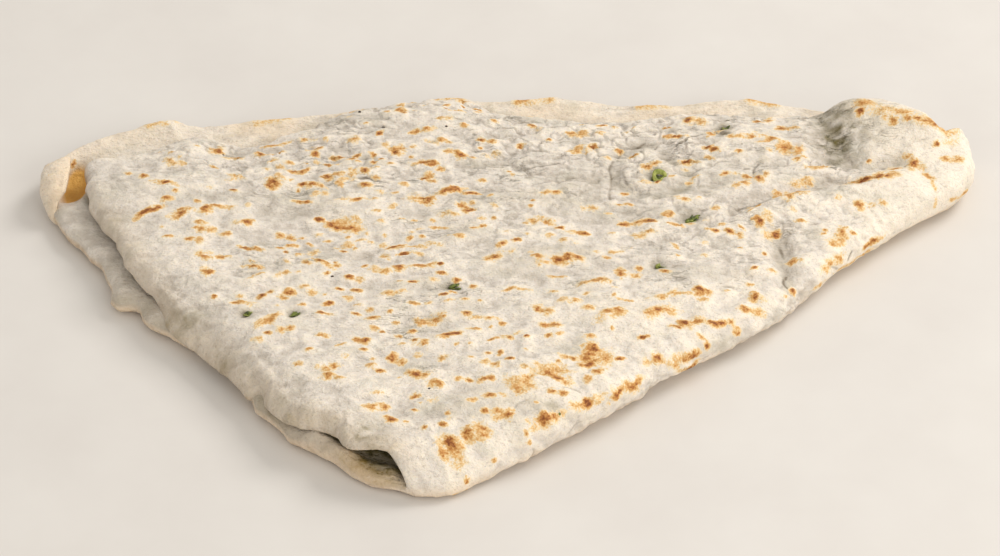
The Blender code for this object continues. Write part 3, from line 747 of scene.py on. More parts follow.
def nose_frame(columns):
    """Outward directions of the front fold, each row's turn and its places on the unrolled dough."""
    lower_axis = route(LOWER_AXIS)
    ahead = lower_axis(np.clip(columns + 0.004, 0, 1)) - lower_axis(np.clip(columns - 0.004, 0, 1))
    ahead /= np.linalg.norm(ahead, axis=1)[:, None]
    outward = np.stack([ahead[:, 1], -ahead[:, 0]], axis=1)
    angles = np.linspace(-math.pi / 2, math.pi / 2, NOSE_ROWS)[1:-1]
    arc = (math.pi / 2 - angles) * NOSE_RADIUS
    return outward, angles, route(UPPER_AXIS)(columns) + arc[:, None, None] * outward


def nose_rows(columns, frame_of_nose, lower_faces, upper_faces, detail):
    """Outer and inner rows round the front fold, from under its axis to over it."""
    outward, angles, _ = frame_of_nose
    lower_axis, upper_axis = route(LOWER_AXIS), route(UPPER_AXIS)
    walked = columns * FOLD_LENGTH
    lower_middle, lower_half = sum(lower_faces) / 2, (lower_faces[1] - lower_faces[0]) / 2
    upper_middle, upper_half = sum(upper_faces) / 2, (upper_faces[1] - upper_faces[0]) / 2
    centre, radius = (upper_middle + lower_middle) / 2, (upper_middle - lower_middle) / 2
    at_mouth = np.exp(-walked / MOUTH_DEPTH)
    bluntness = 1 - BLUNT_END * step_up(walked, BLUNT_FROM, BLUNT_TO)
    outer, inner = [], []
    for angle, row_detail in zip(angles, detail):
        share = 0.5 + angle / math.pi
        cut_back = MOUTH_SLANT * math.cos(angle) * (1 - 0.5 * math.sin(angle)) * at_mouth
        along = columns + cut_back / FOLD_LENGTH
        raised = (1 + math.sin(angle)) / 2
        axis = lower_axis(along) * (1 - raised) + upper_axis(along) * raised
        half = lower_half * (1 - share) + upper_half * share
        lump = 1 + 0.25 * noise(walked / 11, np.full_like(walked, angle * 1.3), 31) * math.cos(angle)
        reach = math.cos(angle) ** bluntness * (1 - (0.35 + 0.4 * raised) * at_mouth)
        outer_size = radius + half * lump + row_detail * math.cos(angle / 1.2)
        for rows, size in ((outer, outer_size), (inner, radius - half)):
            height = np.maximum(centre + size * math.sin(angle), 0)
            rows.append(np.column_stack([axis + (size * reach)[:, None] * outward, height]))
    return np.array(outer), np.array(inner)


def lower_sheets(place):
    """Base and top of the lower leaf, with its grain and the roll in front of the open loop."""
    x, y = place[..., 0], place[..., 1]
    base, top = lower_leaf(x, y)
    grain = 0.16 * wave(x, y, 3.2, 2.4, 55) + 0.10 * wave(x, y, 1.7, 1.4, 56)
    top = top + (mouth_roll(x, y) + grain) * step_up(top - base, 0, 1.5)
    plan = ragged(place, LOWER_LEFT, LOWER_AXIS, 2.2, 0.35, 91)
    return np.dstack([plan, base]), np.dstack([plan, top])


def upper_sheets(place, relief):
    """Base and top of the upper leaf."""
    plan = ragged(place, UPPER_LEFT, UPPER_AXIS, 1.9, -0.5, 95)
    return [np.dstack([plan, face]) for face in upper_leaf(place[..., 0], place[..., 1], relief)]


def underside_fields(x, y):
    """Colour fields of the lower leaf's face on the floor."""
    brown, swollen = browning(x, y, scattered_marks(8, SCATTER_TRIES, []), 6)
    plain = np.zeros(x.shape)
    cream = 0.45 + 0.5 * swollen + 0.3 * wave(x, y, 12, 8, 105)
    # The underside's gold: partly the dough's yellowish tone, partly painted warm shade.
    return {**dict.fromkeys(FIELDS, plain), "browning": brown, "cream": cream, "gold": plain + 0.28}


def joined_sheets(columns, nose, lower_place, upper_place, swell, fine):
    """Outer and inner points of the whole dough, from the rim under the fold round to the top."""
    nose_count = len(nose[2])
    upper = upper_sheets(upper_place, swell + fine[nose_count:])
    lower = lower_sheets(lower_place)
    faces = ([face[0, :, 2] for face in leaf] for leaf in (lower, upper))
    nose_outer, nose_inner = nose_rows(columns, nose, *faces, fine[:nose_count])
    outer = np.concatenate([lower[0][::-1], nose_outer, upper[1]])
    return outer, np.concatenate([lower[1][::-1], nose_inner, upper[0]])


def bread_sheets():
    """Outer and inner points of the bread, with the colour fields of each."""
    columns = shares(COLUMNS, FOLD_LENGTH)
    lower_place = patch(*LOWER_OUTLINE, *np.meshgrid(columns, lower_shares()))
    upper_place = patch(*UPPER_OUTLINE, *np.meshgrid(columns, shares(UPPER_ROWS, LEAF_DEPTH, at_start=False)))
    nose = nose_frame(columns)
    flat = np.concatenate([nose[2], upper_place])
    x, y = flat[..., 0], flat[..., 1]
    standing = list(SCORCH_MARKS)
    brown, swollen = browning(x, y, standing + scattered_marks(7, SCATTER_TRIES, standing), 5)
    crease = crease_lines(x, y)
    fine = fine_relief(x, y, swollen, crease)
    swell = wrinkles(upper_place[..., 0], upper_place[..., 1])
    outer, inner = joined_sheets(columns, nose, lower_place, upper_place, swell, fine)
    swell = np.concatenate([np.repeat(swell[:1], len(nose[2]), axis=0), swell])
    top_fields = {
        "browning": np.maximum(brown, scorched_lines(x, y)),
        "cream": cream_of_top(x, y, 0.55 * swell + 1.4 * fine, swollen),
        "crease": crease,
        "wrinkled": wrinkled_top(x, y),
        "herb": herb_stain_and_side_shade(x, y),
        # Gold low on the outer faces and on the hanging side: partly the yellowish thick edges, partly
        # painted warm shade.
        "gold": 0.25 * step_up(-outer[-len(flat):, :, 2], -6, -0.5) + 0.10 * hanging_side_shade(x, y),
    }
    under = underside_fields(lower_place[..., 0], lower_place[..., 1])
    outer_fields = {name: np.concatenate([under[name][::-1], top_fields[name]]) for name in FIELDS}
    return kept_inside(outer), kept_inside(inner), outer_fields, inner_fields(inner)


def lower_shares():
    """Rows of the lower leaf, close together along the rim that shows behind the upper one."""
    hidden = np.linspace(0, 1 - RIM_SHOWING / LEAF_DEPTH, HIDDEN_ROWS)[1:]
    edge = np.array(EDGE_STEPS[::-1]) / LEAF_DEPTH
    showing = np.linspace(hidden[-1], 1 - edge[0], RIM_ROWS)[1:]
    return np.concatenate([hidden, showing, 1 - edge[1:]])


def cream_of_top(x, y, swell, swollen):
    """How creamy the dough is: greyer in the hollows and puckers and creamier on the swellings, partly
    painted shade and light that follow the relief, creamier towards the front fold and on the thick right
    end.
    """
    mottle = 0.5 * wave(x, y, 6, 4, 101) + 0.8 * wave(x, y, 2.6, 1.9, 102) - 0.9 * puckers(x, y)
    # Painted shade and light: the relief and the puckers make the dough greyer in the hollows and creamier on
    # the swellings.
    cream = 0.12 + 0.66 * step_up(swell + mottle, -1.8, 1.6) + 0.36 * swollen
    front = 0.22 * step_up(-distance_to(LOWER_AXIS, x, y), -16, -2)
    return np.clip(cream + front + 0.55 * step_up(x, 96, 128), 0, 1)


def wrinkled_top(x, y):
    """Where the thin wrinkles of painted shade show: hardly at the two ends, most in the middle and the rear.
    """
    where = 0.3 + 0.7 * step_up(wave(x, y, 30, 20, 67) + 0.006 * y + 0.003 * x, -0.3, 0.5)
    edges = step_up(distance_to(UPPER_LEFT, x, y), 8, 30) * step_up(distance_to(UPPER_AXIS, x, y), 1, 9)
    return edges * inside(UPPER_OUTLINE, x, y) * where * (1 - 0.85 * step_up(x, 116, 132))


def hanging_side_shade(x, y):
    """The strip along the left side where the upper leaf bends down, which is given painted shade."""
    return near_curve(UPPER_LEFT, x, y, 6.5) * (1 - step_up(y, 15, 45))


def herb_stain_and_side_shade(x, y):
    """Where the herbs show through the top: in the valley at the right end, by each tear, in patches; and
    painted shade along the hanging left side.
    """
    stain = 0.20 * near_curve(VALLEY, x, y, 5.0) + 0.35 * near_curve(VALLEY_TAIL, x, y, 3.5)
    stain += 0.4 * near_curve(FRONT_DENT, x, y, 3.0) + 0.3 * near_curve(HERB_HOLLOW, x, y, 2.4)
    stain += 0.25 * step_up(wave(x, y, 16, 9, 111), 0.2, 0.75)
    # Painted shade on the side where the upper leaf bends down.
    stain += hanging_side_shade(x, y) * (0.27 + 0.10 * wave(x, y, 7, 5, 114))
    for patch_x, patch_y, size, strength in HERB_PATCHES:
        blotches = np.clip(0.75 + 1.1 * wave(x, y, 2.8, 2.2, 113), 0, 1.3)
        stain += strength * near_place((patch_x, patch_y), x, y, size) * blotches
    for tear_x, tear_y, length, width, _ in TEARS:
        stain += 0.75 * near_place((tear_x, tear_y), x, y, 0.55 * (length + width))
    return np.clip(stain * (0.8 + 0.4 * wave(x, y, 2.2, 1.8, 112)), 0, 1)


def rim_scorch(x, y):
    """Browning along the rim's edge, and in the fold where the curled lip leaves it."""
    broken = np.clip(0.8 + 0.7 * wave(x, y, 3.0, 2.0, 65), 0, 1)
    scorch = 0.5 * near_curve(LOWER_REAR, x, y, 1.2) * step_up(wave(x, y, 5, 5, 66), 0.1, 0.6)
    for line, strength in RIM_SCORCH:
        scorch = np.maximum(scorch, strength * broken * near_curve(line, x, y, 2.1, 12))
    return np.maximum(scorch, 1.2 * near_curve(LIP_SCORCH, x, y, 0.65))


def inner_fields(inner):
    """Colour fields of the faces between the leaves: the rim is cream, the pocket gold with painted shade
    under the curl, and the cleft, the deep gap and the valley by the upper leaf's rear edge darkened with
    painted shade, olive where the herbs show.
    """
    x, y = inner[..., 0], inner[..., 1]
    rim = step_up(-distance_to(LOWER_REAR, x, y), -30, -12)
    behind = ~inside(UPPER_OUTLINE, x, y)
    few = [mark for mark in scattered_marks(9, SCATTER_TRIES // 6, []) if mark[2] < 4]
    mouth = near_place(MOUTH_PLACE, x, y, TUNNEL_WIDTH)
    # Painted shade, olive where the herbs show: deeper into the gap between the leaves, in the open loop, and
    # in the cleft at the front-left.
    depth = step_up(distance_to(LOWER_LEFT, x, y) + 3 * mouth - 4 * step_up(y, -20, 25), 3.0, 9)
    cleft = near_curve(LOWER_LEFT, x, y, 9) * (1 - step_up(y, -45, 25))
    # The pocket's gold is the dough's golden tone, deepened with painted shade under the curl.
    gold = step_up(pocket(x, y), 0.25, 0.75) + 0.30 * mouth * (1 - depth) + 0.06 * cleft
    gold += 0.10 * rim * (1 + wave(x, y, 12, 6, 106))
    cream = 0.25 + 0.60 * rim + 0.35 * mouth
    # Painted shade in the valley where the upper leaf's rear edge lies on the rim.
    valley = 0.5 * near_curve(UPPER_REAR, x, y, 5) * behind * (0.6 + 0.6 * wave(x, y, 6, 4, 107))
    herb = depth * (1 - rim) * (1.0 + mouth) + valley + 0.42 * cleft + 0.2 * wave(x, y, 4, 3, 104)
    return {
        "browning": np.maximum(0.7 * browning(x, y, few, 4)[0] * behind * rim, 0.68 * rim_scorch(x, y)),
        "cream": np.clip(cream + 0.30 * wave(x, y, 6, 4, 103) + 0.15 * wave(x, y, 2.4, 2, 108), 0, 1),
        "crease": 0.5 * crease_lines(x, y) * behind * rim,
        "wrinkled": 0.3 * rim * behind,
        "herb": np.clip(herb, 0, 1),
        "gold": np.clip(gold, 0, 1),
    }


def thinned(index, first_row, first_column):
    """The sheet's point numbers, with most of the hidden rows and columns drawn onto a neighbour's."""
    rows, columns = np.arange(index.shape[0]), np.arange(index.shape[1])
    row_onto = np.where(rows < rows[-EDGE_ROWS], rows - (rows - first_row) % THINNING, rows)
    column_hidden = (columns > first_column) & (columns < columns[-EDGE_ROWS])
    column_onto = np.where(column_hidden, columns - (columns - first_column) % THINNING, columns)
    drawn = index.copy()
    drawn[first_row:-1, 1:-1] = index[row_onto][:, column_onto][first_row:-1, 1:-1]
    return drawn


def kept_inside(points):
    """The points drawn smoothly back inside the solids' own box."""
    low, high = (np.array(corner) / MM - (0, CENTRING, 0) for corner in CAD_BOX)
    for axis, margin in enumerate(BOX_MARGINS):
        start, end = low[axis] + margin, high[axis] - margin
        over = np.maximum(points[..., axis] - end, 0)
        points[..., axis] += margin * np.tanh(over / margin) - over
        if axis < 2:
            under = np.maximum(start - points[..., axis], 0)
            points[..., axis] += under - margin * np.tanh(under / margin)
    return points


def sheet_triangles(sheet, turn):
    """Two triangles for each cell of a sheet of point numbers, with diagonals mirrored about its middle."""
    rows, columns = sheet.shape
    down = (np.arange(rows - 1) < rows // 2)[:, None]
    across = (np.arange(columns - 1) < columns // 2)[None, :]
    first, right, far, below = sheet[:-1, :-1], sheet[:-1, 1:], sheet[1:, 1:], sheet[1:, :-1]
    outwards = np.stack([first, right, far, first, far, below], axis=-1)[down == across]
    inwards = np.stack([first, right, below, right, far, below], axis=-1)[down != across]
    return np.concatenate([outwards, inwards]).reshape(-1, 3)[:, ::turn]


def closed_mesh(name, outer, inner, outer_fields=None, inner_fields_of=None, hidden_from=None):
    """One closed mesh from two sheets of points that meet along their outermost rows and columns."""
    rows, columns = outer.shape[:2]
    index = np.arange(rows * columns).reshape(rows, columns)
    second = index.copy()
    second[1:-1, 1:-1] = rows * columns + np.arange((rows - 2) * (columns - 2)).reshape(rows - 2, columns - 2)
    points = np.concatenate([outer.reshape(-1, 3), inner[1:-1, 1:-1].reshape(-1, 3)])
    if hidden_from is not None:
        second = thinned(second, *hidden_from)
    triangles = np.concatenate([sheet_triangles(index, 1), sheet_triangles(second, -1)])
    corners = np.sort(triangles, axis=1)
    triangles = triangles[(corners[:, 0] < corners[:, 1]) & (corners[:, 1] < corners[:, 2])]
    used, triangles = np.unique(triangles, return_inverse=True)
    mesh = mesh_of(name, points[used], triangles.reshape(-1, 3))
    for field, values in (outer_fields or {}).items():
        both = np.concatenate([values.ravel(), inner_fields_of[field][1:-1, 1:-1].ravel()])
        paint(mesh, field, both[used])
    return mesh


def mesh_of(name, points, triangles):
    """A mesh from points in millimetres and triangles."""
    points, triangles = np.asarray(points, float), np.asarray(triangles)
    mesh = bpy.data.meshes.new(name)
    mesh.vertices.add(len(points))
    mesh.vertices.foreach_set("co", ((points + (0, CENTRING, 0)) * MM).astype(np.float32).ravel())
    mesh.loops.add(triangles.size)
    mesh.loops.foreach_set("vertex_index", triangles.astype(np.int32).ravel())
    mesh.polygons.add(len(triangles))
    mesh.polygons.foreach_set("loop_start", np.arange(0, triangles.size, 3, dtype=np.int32))
    mesh.update(calc_edges=True)
    mesh.validate()
    mesh.shade_smooth()
    return mesh


def paint(mesh, field, values):
    """Stores one value for each point, for the material to read."""
    attribute = mesh.attributes.new(field, "FLOAT", "POINT")
    attribute.data.foreach_set("value", np.clip(values, 0, 1).astype(np.float32))


def in_scene(name, data):
    """A new object of this data, linked to the scene."""
    made = bpy.data.objects.new(name, data)
    bpy.context.scene.collection.objects.link(made)
    return made


def add_piece(mesh, material, slot, *replaced):
    """Puts a piece on the part under its mesh's name, in place of the nodes that it stands for."""
    mesh.materials.append(material)
    piece = in_scene(mesh.name, mesh)
    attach(piece, "root")
    for node in replaced:
        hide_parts(node)


def add_bread(material):
    """The folded sheet of dough, as one closed mesh."""
    outer, inner, outer_fields, fields_inside = bread_sheets()
    hidden_from = (outer.shape[0] - UPPER_ROWS, CLEFT_COLUMNS)
    mesh = closed_mesh("folded_bread", outer, inner, outer_fields, fields_inside, hidden_from)
    add_piece(mesh, material, "baked_dough", "bread")


def lip_sheets():
    """Outer and inner points of the curled lip, and each point's share of the turn."""
    stations = np.array(LIP_STATIONS, float)
    y = np.linspace(stations[0, 0], stations[-1, 0], LIP_ROWS)
    foot, radius, turn = (np.interp(y, stations[:, 0], stations[:, i]) for i in (1, 2, 3))
    outer, inner, bend = [], [], []
    for place, foot_x, size, angle in zip(y, foot, radius, np.radians(turn)):
        foot_turn = np.linspace(-LIP_FOOT / size, 0, 8)[:-1]
        swing = np.concatenate([foot_turn, np.linspace(0, angle, 36), [angle + 0.5 / size]])
        walked = np.minimum(swing - swing[0], swing[-1] - swing) * size
        half = LIP_THICKNESS / 2 * rounded(walked, 1.2) * rounded(min(place - y[0], y[-1] - place), 1.6)
        round_part = np.maximum(swing, 0)
        wobble = 0.40 * noise(np.full_like(swing, place / 3.5), swing * 1.9, 121)
        for rows, reach in ((outer, size + half + wobble), (inner, size - half + wobble)):
            x = foot_x - reach * np.sin(round_part) - np.minimum(swing, 0) * size
            z = LIP_THICKNESS / 2 + size - reach * np.cos(round_part)
            rows.append(np.column_stack([x, np.full_like(x, place), np.maximum(z, 0)]))
        bend.append(round_part / angle)
    return np.array(outer), np.array(inner), np.array(bend)


def add_lip(material):
    """The curled lip: a strip along y whose foot lies under the lower leaf and whose edge turns back over."""
    outer, inner, bend = lip_sheets()
    u, v = bend * 20, outer[..., 1]
    plain = np.zeros(bend.shape)
    lip = {**dict.fromkeys(FIELDS, plain), "cream": plain + 0.8}
    spots, _ = browning(u, v, LIP_SCORCH_MARKS, 3)
    # Gold towards the lip's curled edge and on its inside: the dough's golden tone, with painted shade where
    # the curl turns away and under it.
    gold = 0.12 + 0.16 * step_up(bend, 0.6, 1.0) + 0.08 * wave(u, v, 5, 4, 122)
    outside, within = {**lip, "browning": 0.6 * spots, "gold": gold}, {**lip, "gold": plain + 0.6}
    mesh = closed_mesh("curled_lip", kept_inside(outer), kept_inside(inner), outside, within)
    add_piece(mesh, material, "baked_dough")


# Herbs


def band(first, second, sides):
    """Triangles between two rings of points, each ring given by the number of its first point."""
    triangles = []
    for i in range(sides):
        after = (i + 1) % sides
        triangles += [(first + i, first + after, second + after), (first + i, second + after, second + i)]
    return triangles


def shred_points(place, draw, length, width):
    """The corners of one bent ribbon with a thick middle, section by section, and its tone."""
    x, y, z, heading, lift = place
    size, broad = draw.uniform(*length), draw.uniform(*width)
    curl, roll = draw.uniform(-1.6, 1.6), draw.uniform(-0.9, 0.9)
    tone = draw.uniform(0, 1)
    spot, points = np.array([x, y, z], float), []
    for i in range(SHRED_SECTIONS):
        share = i / (SHRED_SECTIONS - 1)
        turn = heading + curl * (share - 0.5)
        ahead = np.array([math.cos(turn), math.sin(turn), lift + 0.25 * math.sin(3 * share + tone * 6)])
        across = np.array([-math.sin(turn), math.cos(turn), roll])
        across /= np.linalg.norm(across)
        over = np.cross(ahead / np.linalg.norm(ahead), across)
        taper = 0.25 + 0.75 * math.sin(math.pi * min(max(share, 0.08), 0.92))
        for u, v in SHRED_SIDES:
            points.append(spot + across * u * broad / 2 * taper + over * v * SHRED_THICKNESS / 2)
        spot = spot + ahead * size / (SHRED_SECTIONS - 1)
    return points, tone


def add_shreds(name, places, draw, length, width, material):
    """Cut shreds of leaf, joined in one piece."""
    points, triangles, tint = [], [], []
    for place in places:
        start = len(points)
        corners, tone = shred_points(place, draw, length, width)
        points += corners
        tint += [tone] * len(corners)
        end = len(points) - 4
        for ring in range(start, end, 4):
            triangles += band(ring, ring + 4, 4)
        triangles += [(start, start + 2, start + 1), (start, start + 3, start + 2)]
        triangles += [(end, end + 1, end + 2), (end, end + 2, end + 3)]
    mesh = mesh_of(name, points, triangles)
    paint(mesh, "tint", tint)
    add_piece(mesh, material, "herb_filling")


def add_herb_layer(material):
    """The herb filling between the leaves."""
    a, b = np.meshgrid(np.linspace(0, 1, GREENS_COLUMNS), np.linspace(0, 1, GREENS_ROWS))
    place = patch(GREENS_FRONT, GREENS_LEFT, GREENS_REAR, GREENS_END, a, b)
    edge = np.minimum(np.minimum(a, 1 - a) * GREENS_LENGTH, np.minimum(b, 1 - b) * GREENS_DEPTH)
    sway = GREENS_RAGGED * noise(place[..., 0] / 4, place[..., 1] / 4, 41) * bump(edge, 6)
    x, y = place[..., 0] + sway, place[..., 1] + 0.6 * sway
    floor, roof = lower_leaf(x, y)[1], upper_leaf(x, y, wrinkles(x, y))[0]
    middle = (floor + roof) / 2
    half = np.maximum((roof - floor) / 2 - GREENS_CLEARANCE, LEAST_GREENS / 2) * rounded(edge, 1.6)
    rough = 0.75 + 0.25 * noise(x / 2, y / 2, 42)
    top, base = np.dstack([x, y, middle + half * rough]), np.dstack([x, y, middle - half * rough])
    tint = {"tint": np.clip(0.5 + 0.5 * noise(x / 3, y / 3, 43), 0, 1)}
    add_piece(closed_mesh("herb_layer", top, base, tint, tint), material, "herb_filling", "greens")


def add_cleft_shreds(material):
    """The shreds that show between the leaves along the left side."""
    draw = np.random.default_rng(17)
    edge_line = route(GREENS_LEFT)
    share = draw.uniform(0.01, 0.99, SHREDS_IN_CLEFT)
    ahead = edge_line(share + 0.01) - edge_line(share - 0.01)
    ahead /= np.linalg.norm(ahead, axis=1)[:, None]
    outward = np.stack([-ahead[:, 1], ahead[:, 0]], axis=1)
    spots = edge_line(share) + outward * draw.uniform(-2.6, 0.5, SHREDS_IN_CLEFT)[:, None]
    x, y = spots.T
    low = lower_leaf(x, y)[1] + LEAF_TO_SHRED
    high = upper_leaf(x, y, wrinkles(x, y))[0] - LEAF_TO_SHRED
    z = low + (high - low) * draw.uniform(0, 1, SHREDS_IN_CLEFT)
    heading = np.arctan2(ahead[:, 1], ahead[:, 0]) + draw.normal(0, 0.5, SHREDS_IN_CLEFT)
    fits = (high - low > 0.3) & (tunnel(x, y) < 0.1)
    places = np.column_stack([x, y, z, heading, np.zeros(SHREDS_IN_CLEFT)])[fits]
    add_shreds("herb_shreds", places, draw, (1.2, 2.6), (0.6, 1.3), material)


def add_tear_herbs(material):
    """A few bright cut pieces in each tear of the top."""
    draw = np.random.default_rng(23)
    places = []
    for x, y, length, width, turn in TEARS:
        for _ in range(int(3 + 2.2 * length)):
            away, round_by = draw.uniform(0, 0.42), draw.uniform(0, math.tau)
            along, across = away * length * math.cos(round_by), away * width * math.sin(round_by)
            away_x, away_y = turned(along, across, -turn)
            heading = math.radians(turn) + draw.normal(0, 0.4)
            places.append((x + away_x, y + away_y, draw.uniform(0.2, 0.8), heading, 0.1))
    places = np.array(places)
    places[:, 2] += top_surface(places[:, 0], places[:, 1])
    add_shreds("tear_herbs", places, draw, (1.5, 3.0), (0.8, 1.6), material)


def add_onion_ring(material):
    """The slice of spring onion in the largest tear, tipped towards the front."""
    draw = np.random.default_rng(29)
    x, y = np.array([ONION_PLACE[0]]), np.array([ONION_PLACE[1]])
    height = upper_leaf(x, y, wrinkles(x, y))[1][0] + ONION_LIFT
    lean_c, lean_s = math.cos(ONION_TILT), math.sin(ONION_TILT)
    points, triangles = [], []
    for turn in range(ONION_TURNS):
        angle = math.tau * turn / ONION_TURNS
        radius = ONION_RADIUS * (1 + 0.06 * math.sin(3 * angle + 1) + draw.uniform(-0.02, 0.02))
        for i in range(ONION_SIDES):
            across = math.tau * i / ONION_SIDES
            out, up = radius + ONION_WALL / 2 * math.cos(across), ONION_HEIGHT / 2 * math.sin(across)
            px, py = out * math.cos(angle), out * math.sin(angle)
            points.append((x[0] + px, y[0] + py * lean_c + up * lean_s, height + up * lean_c + py * lean_s))
        after = (turn + 1) % ONION_TURNS
        triangles += [each[::-1] for each in band(turn * ONION_SIDES, after * ONION_SIDES, ONION_SIDES)]
    mesh = mesh_of("onion_ring", points, triangles)
    paint(mesh, "tint", draw.uniform(0.5, 0.9, len(points)))
    add_piece(mesh, material, "herb_filling")


def add_flecks(material):
    """Charred flecks: flattened lumps that lie on the top."""
    draw = np.random.default_rng(31)
    points, triangles = [], []
    for x, y, size in FLECKS:
        height = top_surface(np.array([x]), np.array([y]))[0] + FLECK_LIFT
        start = len(points)
        for latitude in FLECK_LATITUDES:
            for i in range(FLECK_SIDES):
                reach = size / 2 * math.cos(latitude) * draw.uniform(0.75, 1.15)
                angle = math.tau * i / FLECK_SIDES
                lift = 0.45 * size * math.sin(latitude)
                points.append((x + 1.3 * reach * math.cos(angle), y + reach * math.sin(angle), height + lift))
        last = len(points) - FLECK_SIDES
        for ring in range(start, last, FLECK_SIDES):
            triangles += band(ring, ring + FLECK_SIDES, FLECK_SIDES)
        for i in range(1, FLECK_SIDES - 1):
            triangles += [(start, start + i + 1, start + i), (last, last + i, last + i + 1)]
    mesh = mesh_of("char_flecks", points, triangles)
    paint(mesh, "tint", draw.uniform(0, 1, len(points)))
    add_piece(mesh, material, "baked_dough")


# Materials


class Nodes:
    """Short calls for building one material's nodes."""

    def __init__(self, name):
        self.material = bpy.data.materials.new(name)
        self.material.use_nodes = True
        self.tree = self.material.node_tree
        self.shader = self.tree.nodes["Principled BSDF"]
        self.coordinates = self.new("TexCoord").outputs["Object"]

    def new(self, kind, **values):
        return self.fill(self.tree.nodes.new("ShaderNode" + kind), **values)

    def fill(self, node, **values):
        """Joins each value to the node's input of that name, where an underscore stands for a space."""
        for name, value in values.items():
            self.join(value, node.inputs[name.replace("_", " ")])
        return node

    def join(self, value, socket):
        if isinstance(value, (int, float, tuple)):
            socket.default_value = value
        else:
            self.tree.links.new(value, socket)

    def field(self, name):
        node = self.new("Attribute")
        node.attribute_name = name
        return node.outputs["Fac"]

    def noise(self, scale, detail=3.0, stretch=(1, 1, 1)):
        place = self.new("Mapping", Scale=stretch, Vector=self.coordinates).outputs["Vector"]
        return self.new("TexNoise", Scale=scale, Detail=detail, Roughness=0.6, Vector=place).outputs["Fac"]

    def thin_lines(self, scale, width, stretch):
        """Thin wandering lines, where a noise crosses its middle."""
        away = self.math("ABSOLUTE", self.math("SUBTRACT", self.noise(scale, 4.0, stretch), 0.5), 0.0)
        return self.spread(away, width, 0.0)

    def math(self, operation, first, second):
        node = self.new("Math")
        node.operation = operation
        self.join(first, node.inputs[0])
        self.join(second, node.inputs[1])
        return node.outputs[0]

    def plus(self, first, second):
        return self.math("ADD", first, second)

    def times(self, first, second):
        return self.math("MULTIPLY", first, second)

    def spread(self, value, low, high, to_low=0.0, to_high=1.0):
        """The value's smoothed place between low and high, as a number from to_low to to_high."""
        node = self.new("MapRange", Value=value, From_Min=low, From_Max=high, To_Min=to_low, To_Max=to_high)
        node.interpolation_type = "SMOOTHSTEP"
        return node.outputs["Result"]

    def ramp(self, value, *stops):
        node = self.new("ValToRGB", Fac=value)
        elements = node.color_ramp.elements
        while len(elements) < len(stops):
            elements.new(0.5)
        for element, (place, colour) in zip(elements, stops):
            element.position = place
            element.color = colour
        return node.outputs["Color"]

    def mix(self, share, first, second):
        node = self.new("Mix")
        node.data_type = "RGBA"
        self.fill(node, Factor=share, A=first, B=second)
        return next(socket for socket in node.outputs if socket.name == "Result" and socket.type == "RGBA")

    def bump(self, height, distance, strength, **under):
        node = self.new("Bump", Distance=distance, Strength=strength, Height=height, **under)
        return node.outputs["Normal"]

    def settle(self, **values):
        self.fill(self.shader, **values)
        return self.material


def floury_dough(n, flour, fibre, grain):
    """Grey hollows and cream swellings, partly painted shade and light that follow the relief, with flour on
    them.
    """
    patches = n.noise(120, 3.0, (0.6, 1.0, 1.0))
    cream = n.plus(n.field("cream"), n.spread(flour, 0.25, 0.75, -0.26, 0.26))
    # The cream field's grey and cream are partly painted shade and light that follow the relief.
    dough = n.ramp(cream, (0.05, GREY_DOUGH), (0.45, PALE_DOUGH), (0.95, CREAM_DOUGH))
    dough = n.mix(n.spread(patches, 0.5, 0.72, 0.0, 0.4), dough, GREEN_GREY_DOUGH)
    dough = n.mix(n.spread(fibre, 0.56, 0.72, 0.0, 0.35), dough, FLOUR_WHITE)
    dough = n.mix(n.spread(fibre, 0.46, 0.28, 0.0, 0.5), dough, FIBRE_SHADE)
    return n.mix(n.spread(grain, 0.44, 0.28, 0.0, 0.45), dough, FIBRE_SHADE)


def herbs_and_painted_shade(n, dough, flour):
    """The herbs' stain and dark flakes under thin dough, and the painted shade that the herb field carries in
    the cleft, the gap and along the hanging side.
    """
    # This olive is the herbs showing through, and painted shade in the cleft, the gap between the leaves and
    # along the hanging side.
    dough = n.mix(n.times(n.field("herb"), n.spread(flour, 0.3, 0.7, 0.55, 1.0)), dough, HERB_AND_SHADE_OLIVE)
    flakes = n.spread(n.noise(520, 4.0), 0.52, 0.66)
    return n.mix(n.times(flakes, n.spread(n.field("herb"), 0.35, 0.95, 0.0, 0.85)), dough, HERB_FLAKE)


def thin_wrinkles(n):
    """Short wandering lines of painted shade where the field says that the dough is wrinkled."""
    coarse, fine = n.thin_lines(80, 0.010, (0.3, 1.5, 1.0)), n.thin_lines(170, 0.014, (0.35, 1.4, 1.0))
    lines = n.math("MAXIMUM", coarse, fine)
    lines = n.times(lines, n.spread(n.noise(90, 3.0), 0.45, 0.62, 0.0, 0.95))
    return n.times(lines, n.field("wrinkled"))


def scorched(n, flour):
    """How brown each place is, with the speckle of the scorch marks."""
    speckle = n.spread(n.noise(1400, 3.0), 0.3, 0.7, -0.17, 0.17)
    speckle = n.plus(speckle, n.spread(flour, 0.25, 0.75, -0.12, 0.12))
    return n.plus(n.field("browning"), n.times(speckle, n.spread(n.field("browning"), 0.0, 0.3)))


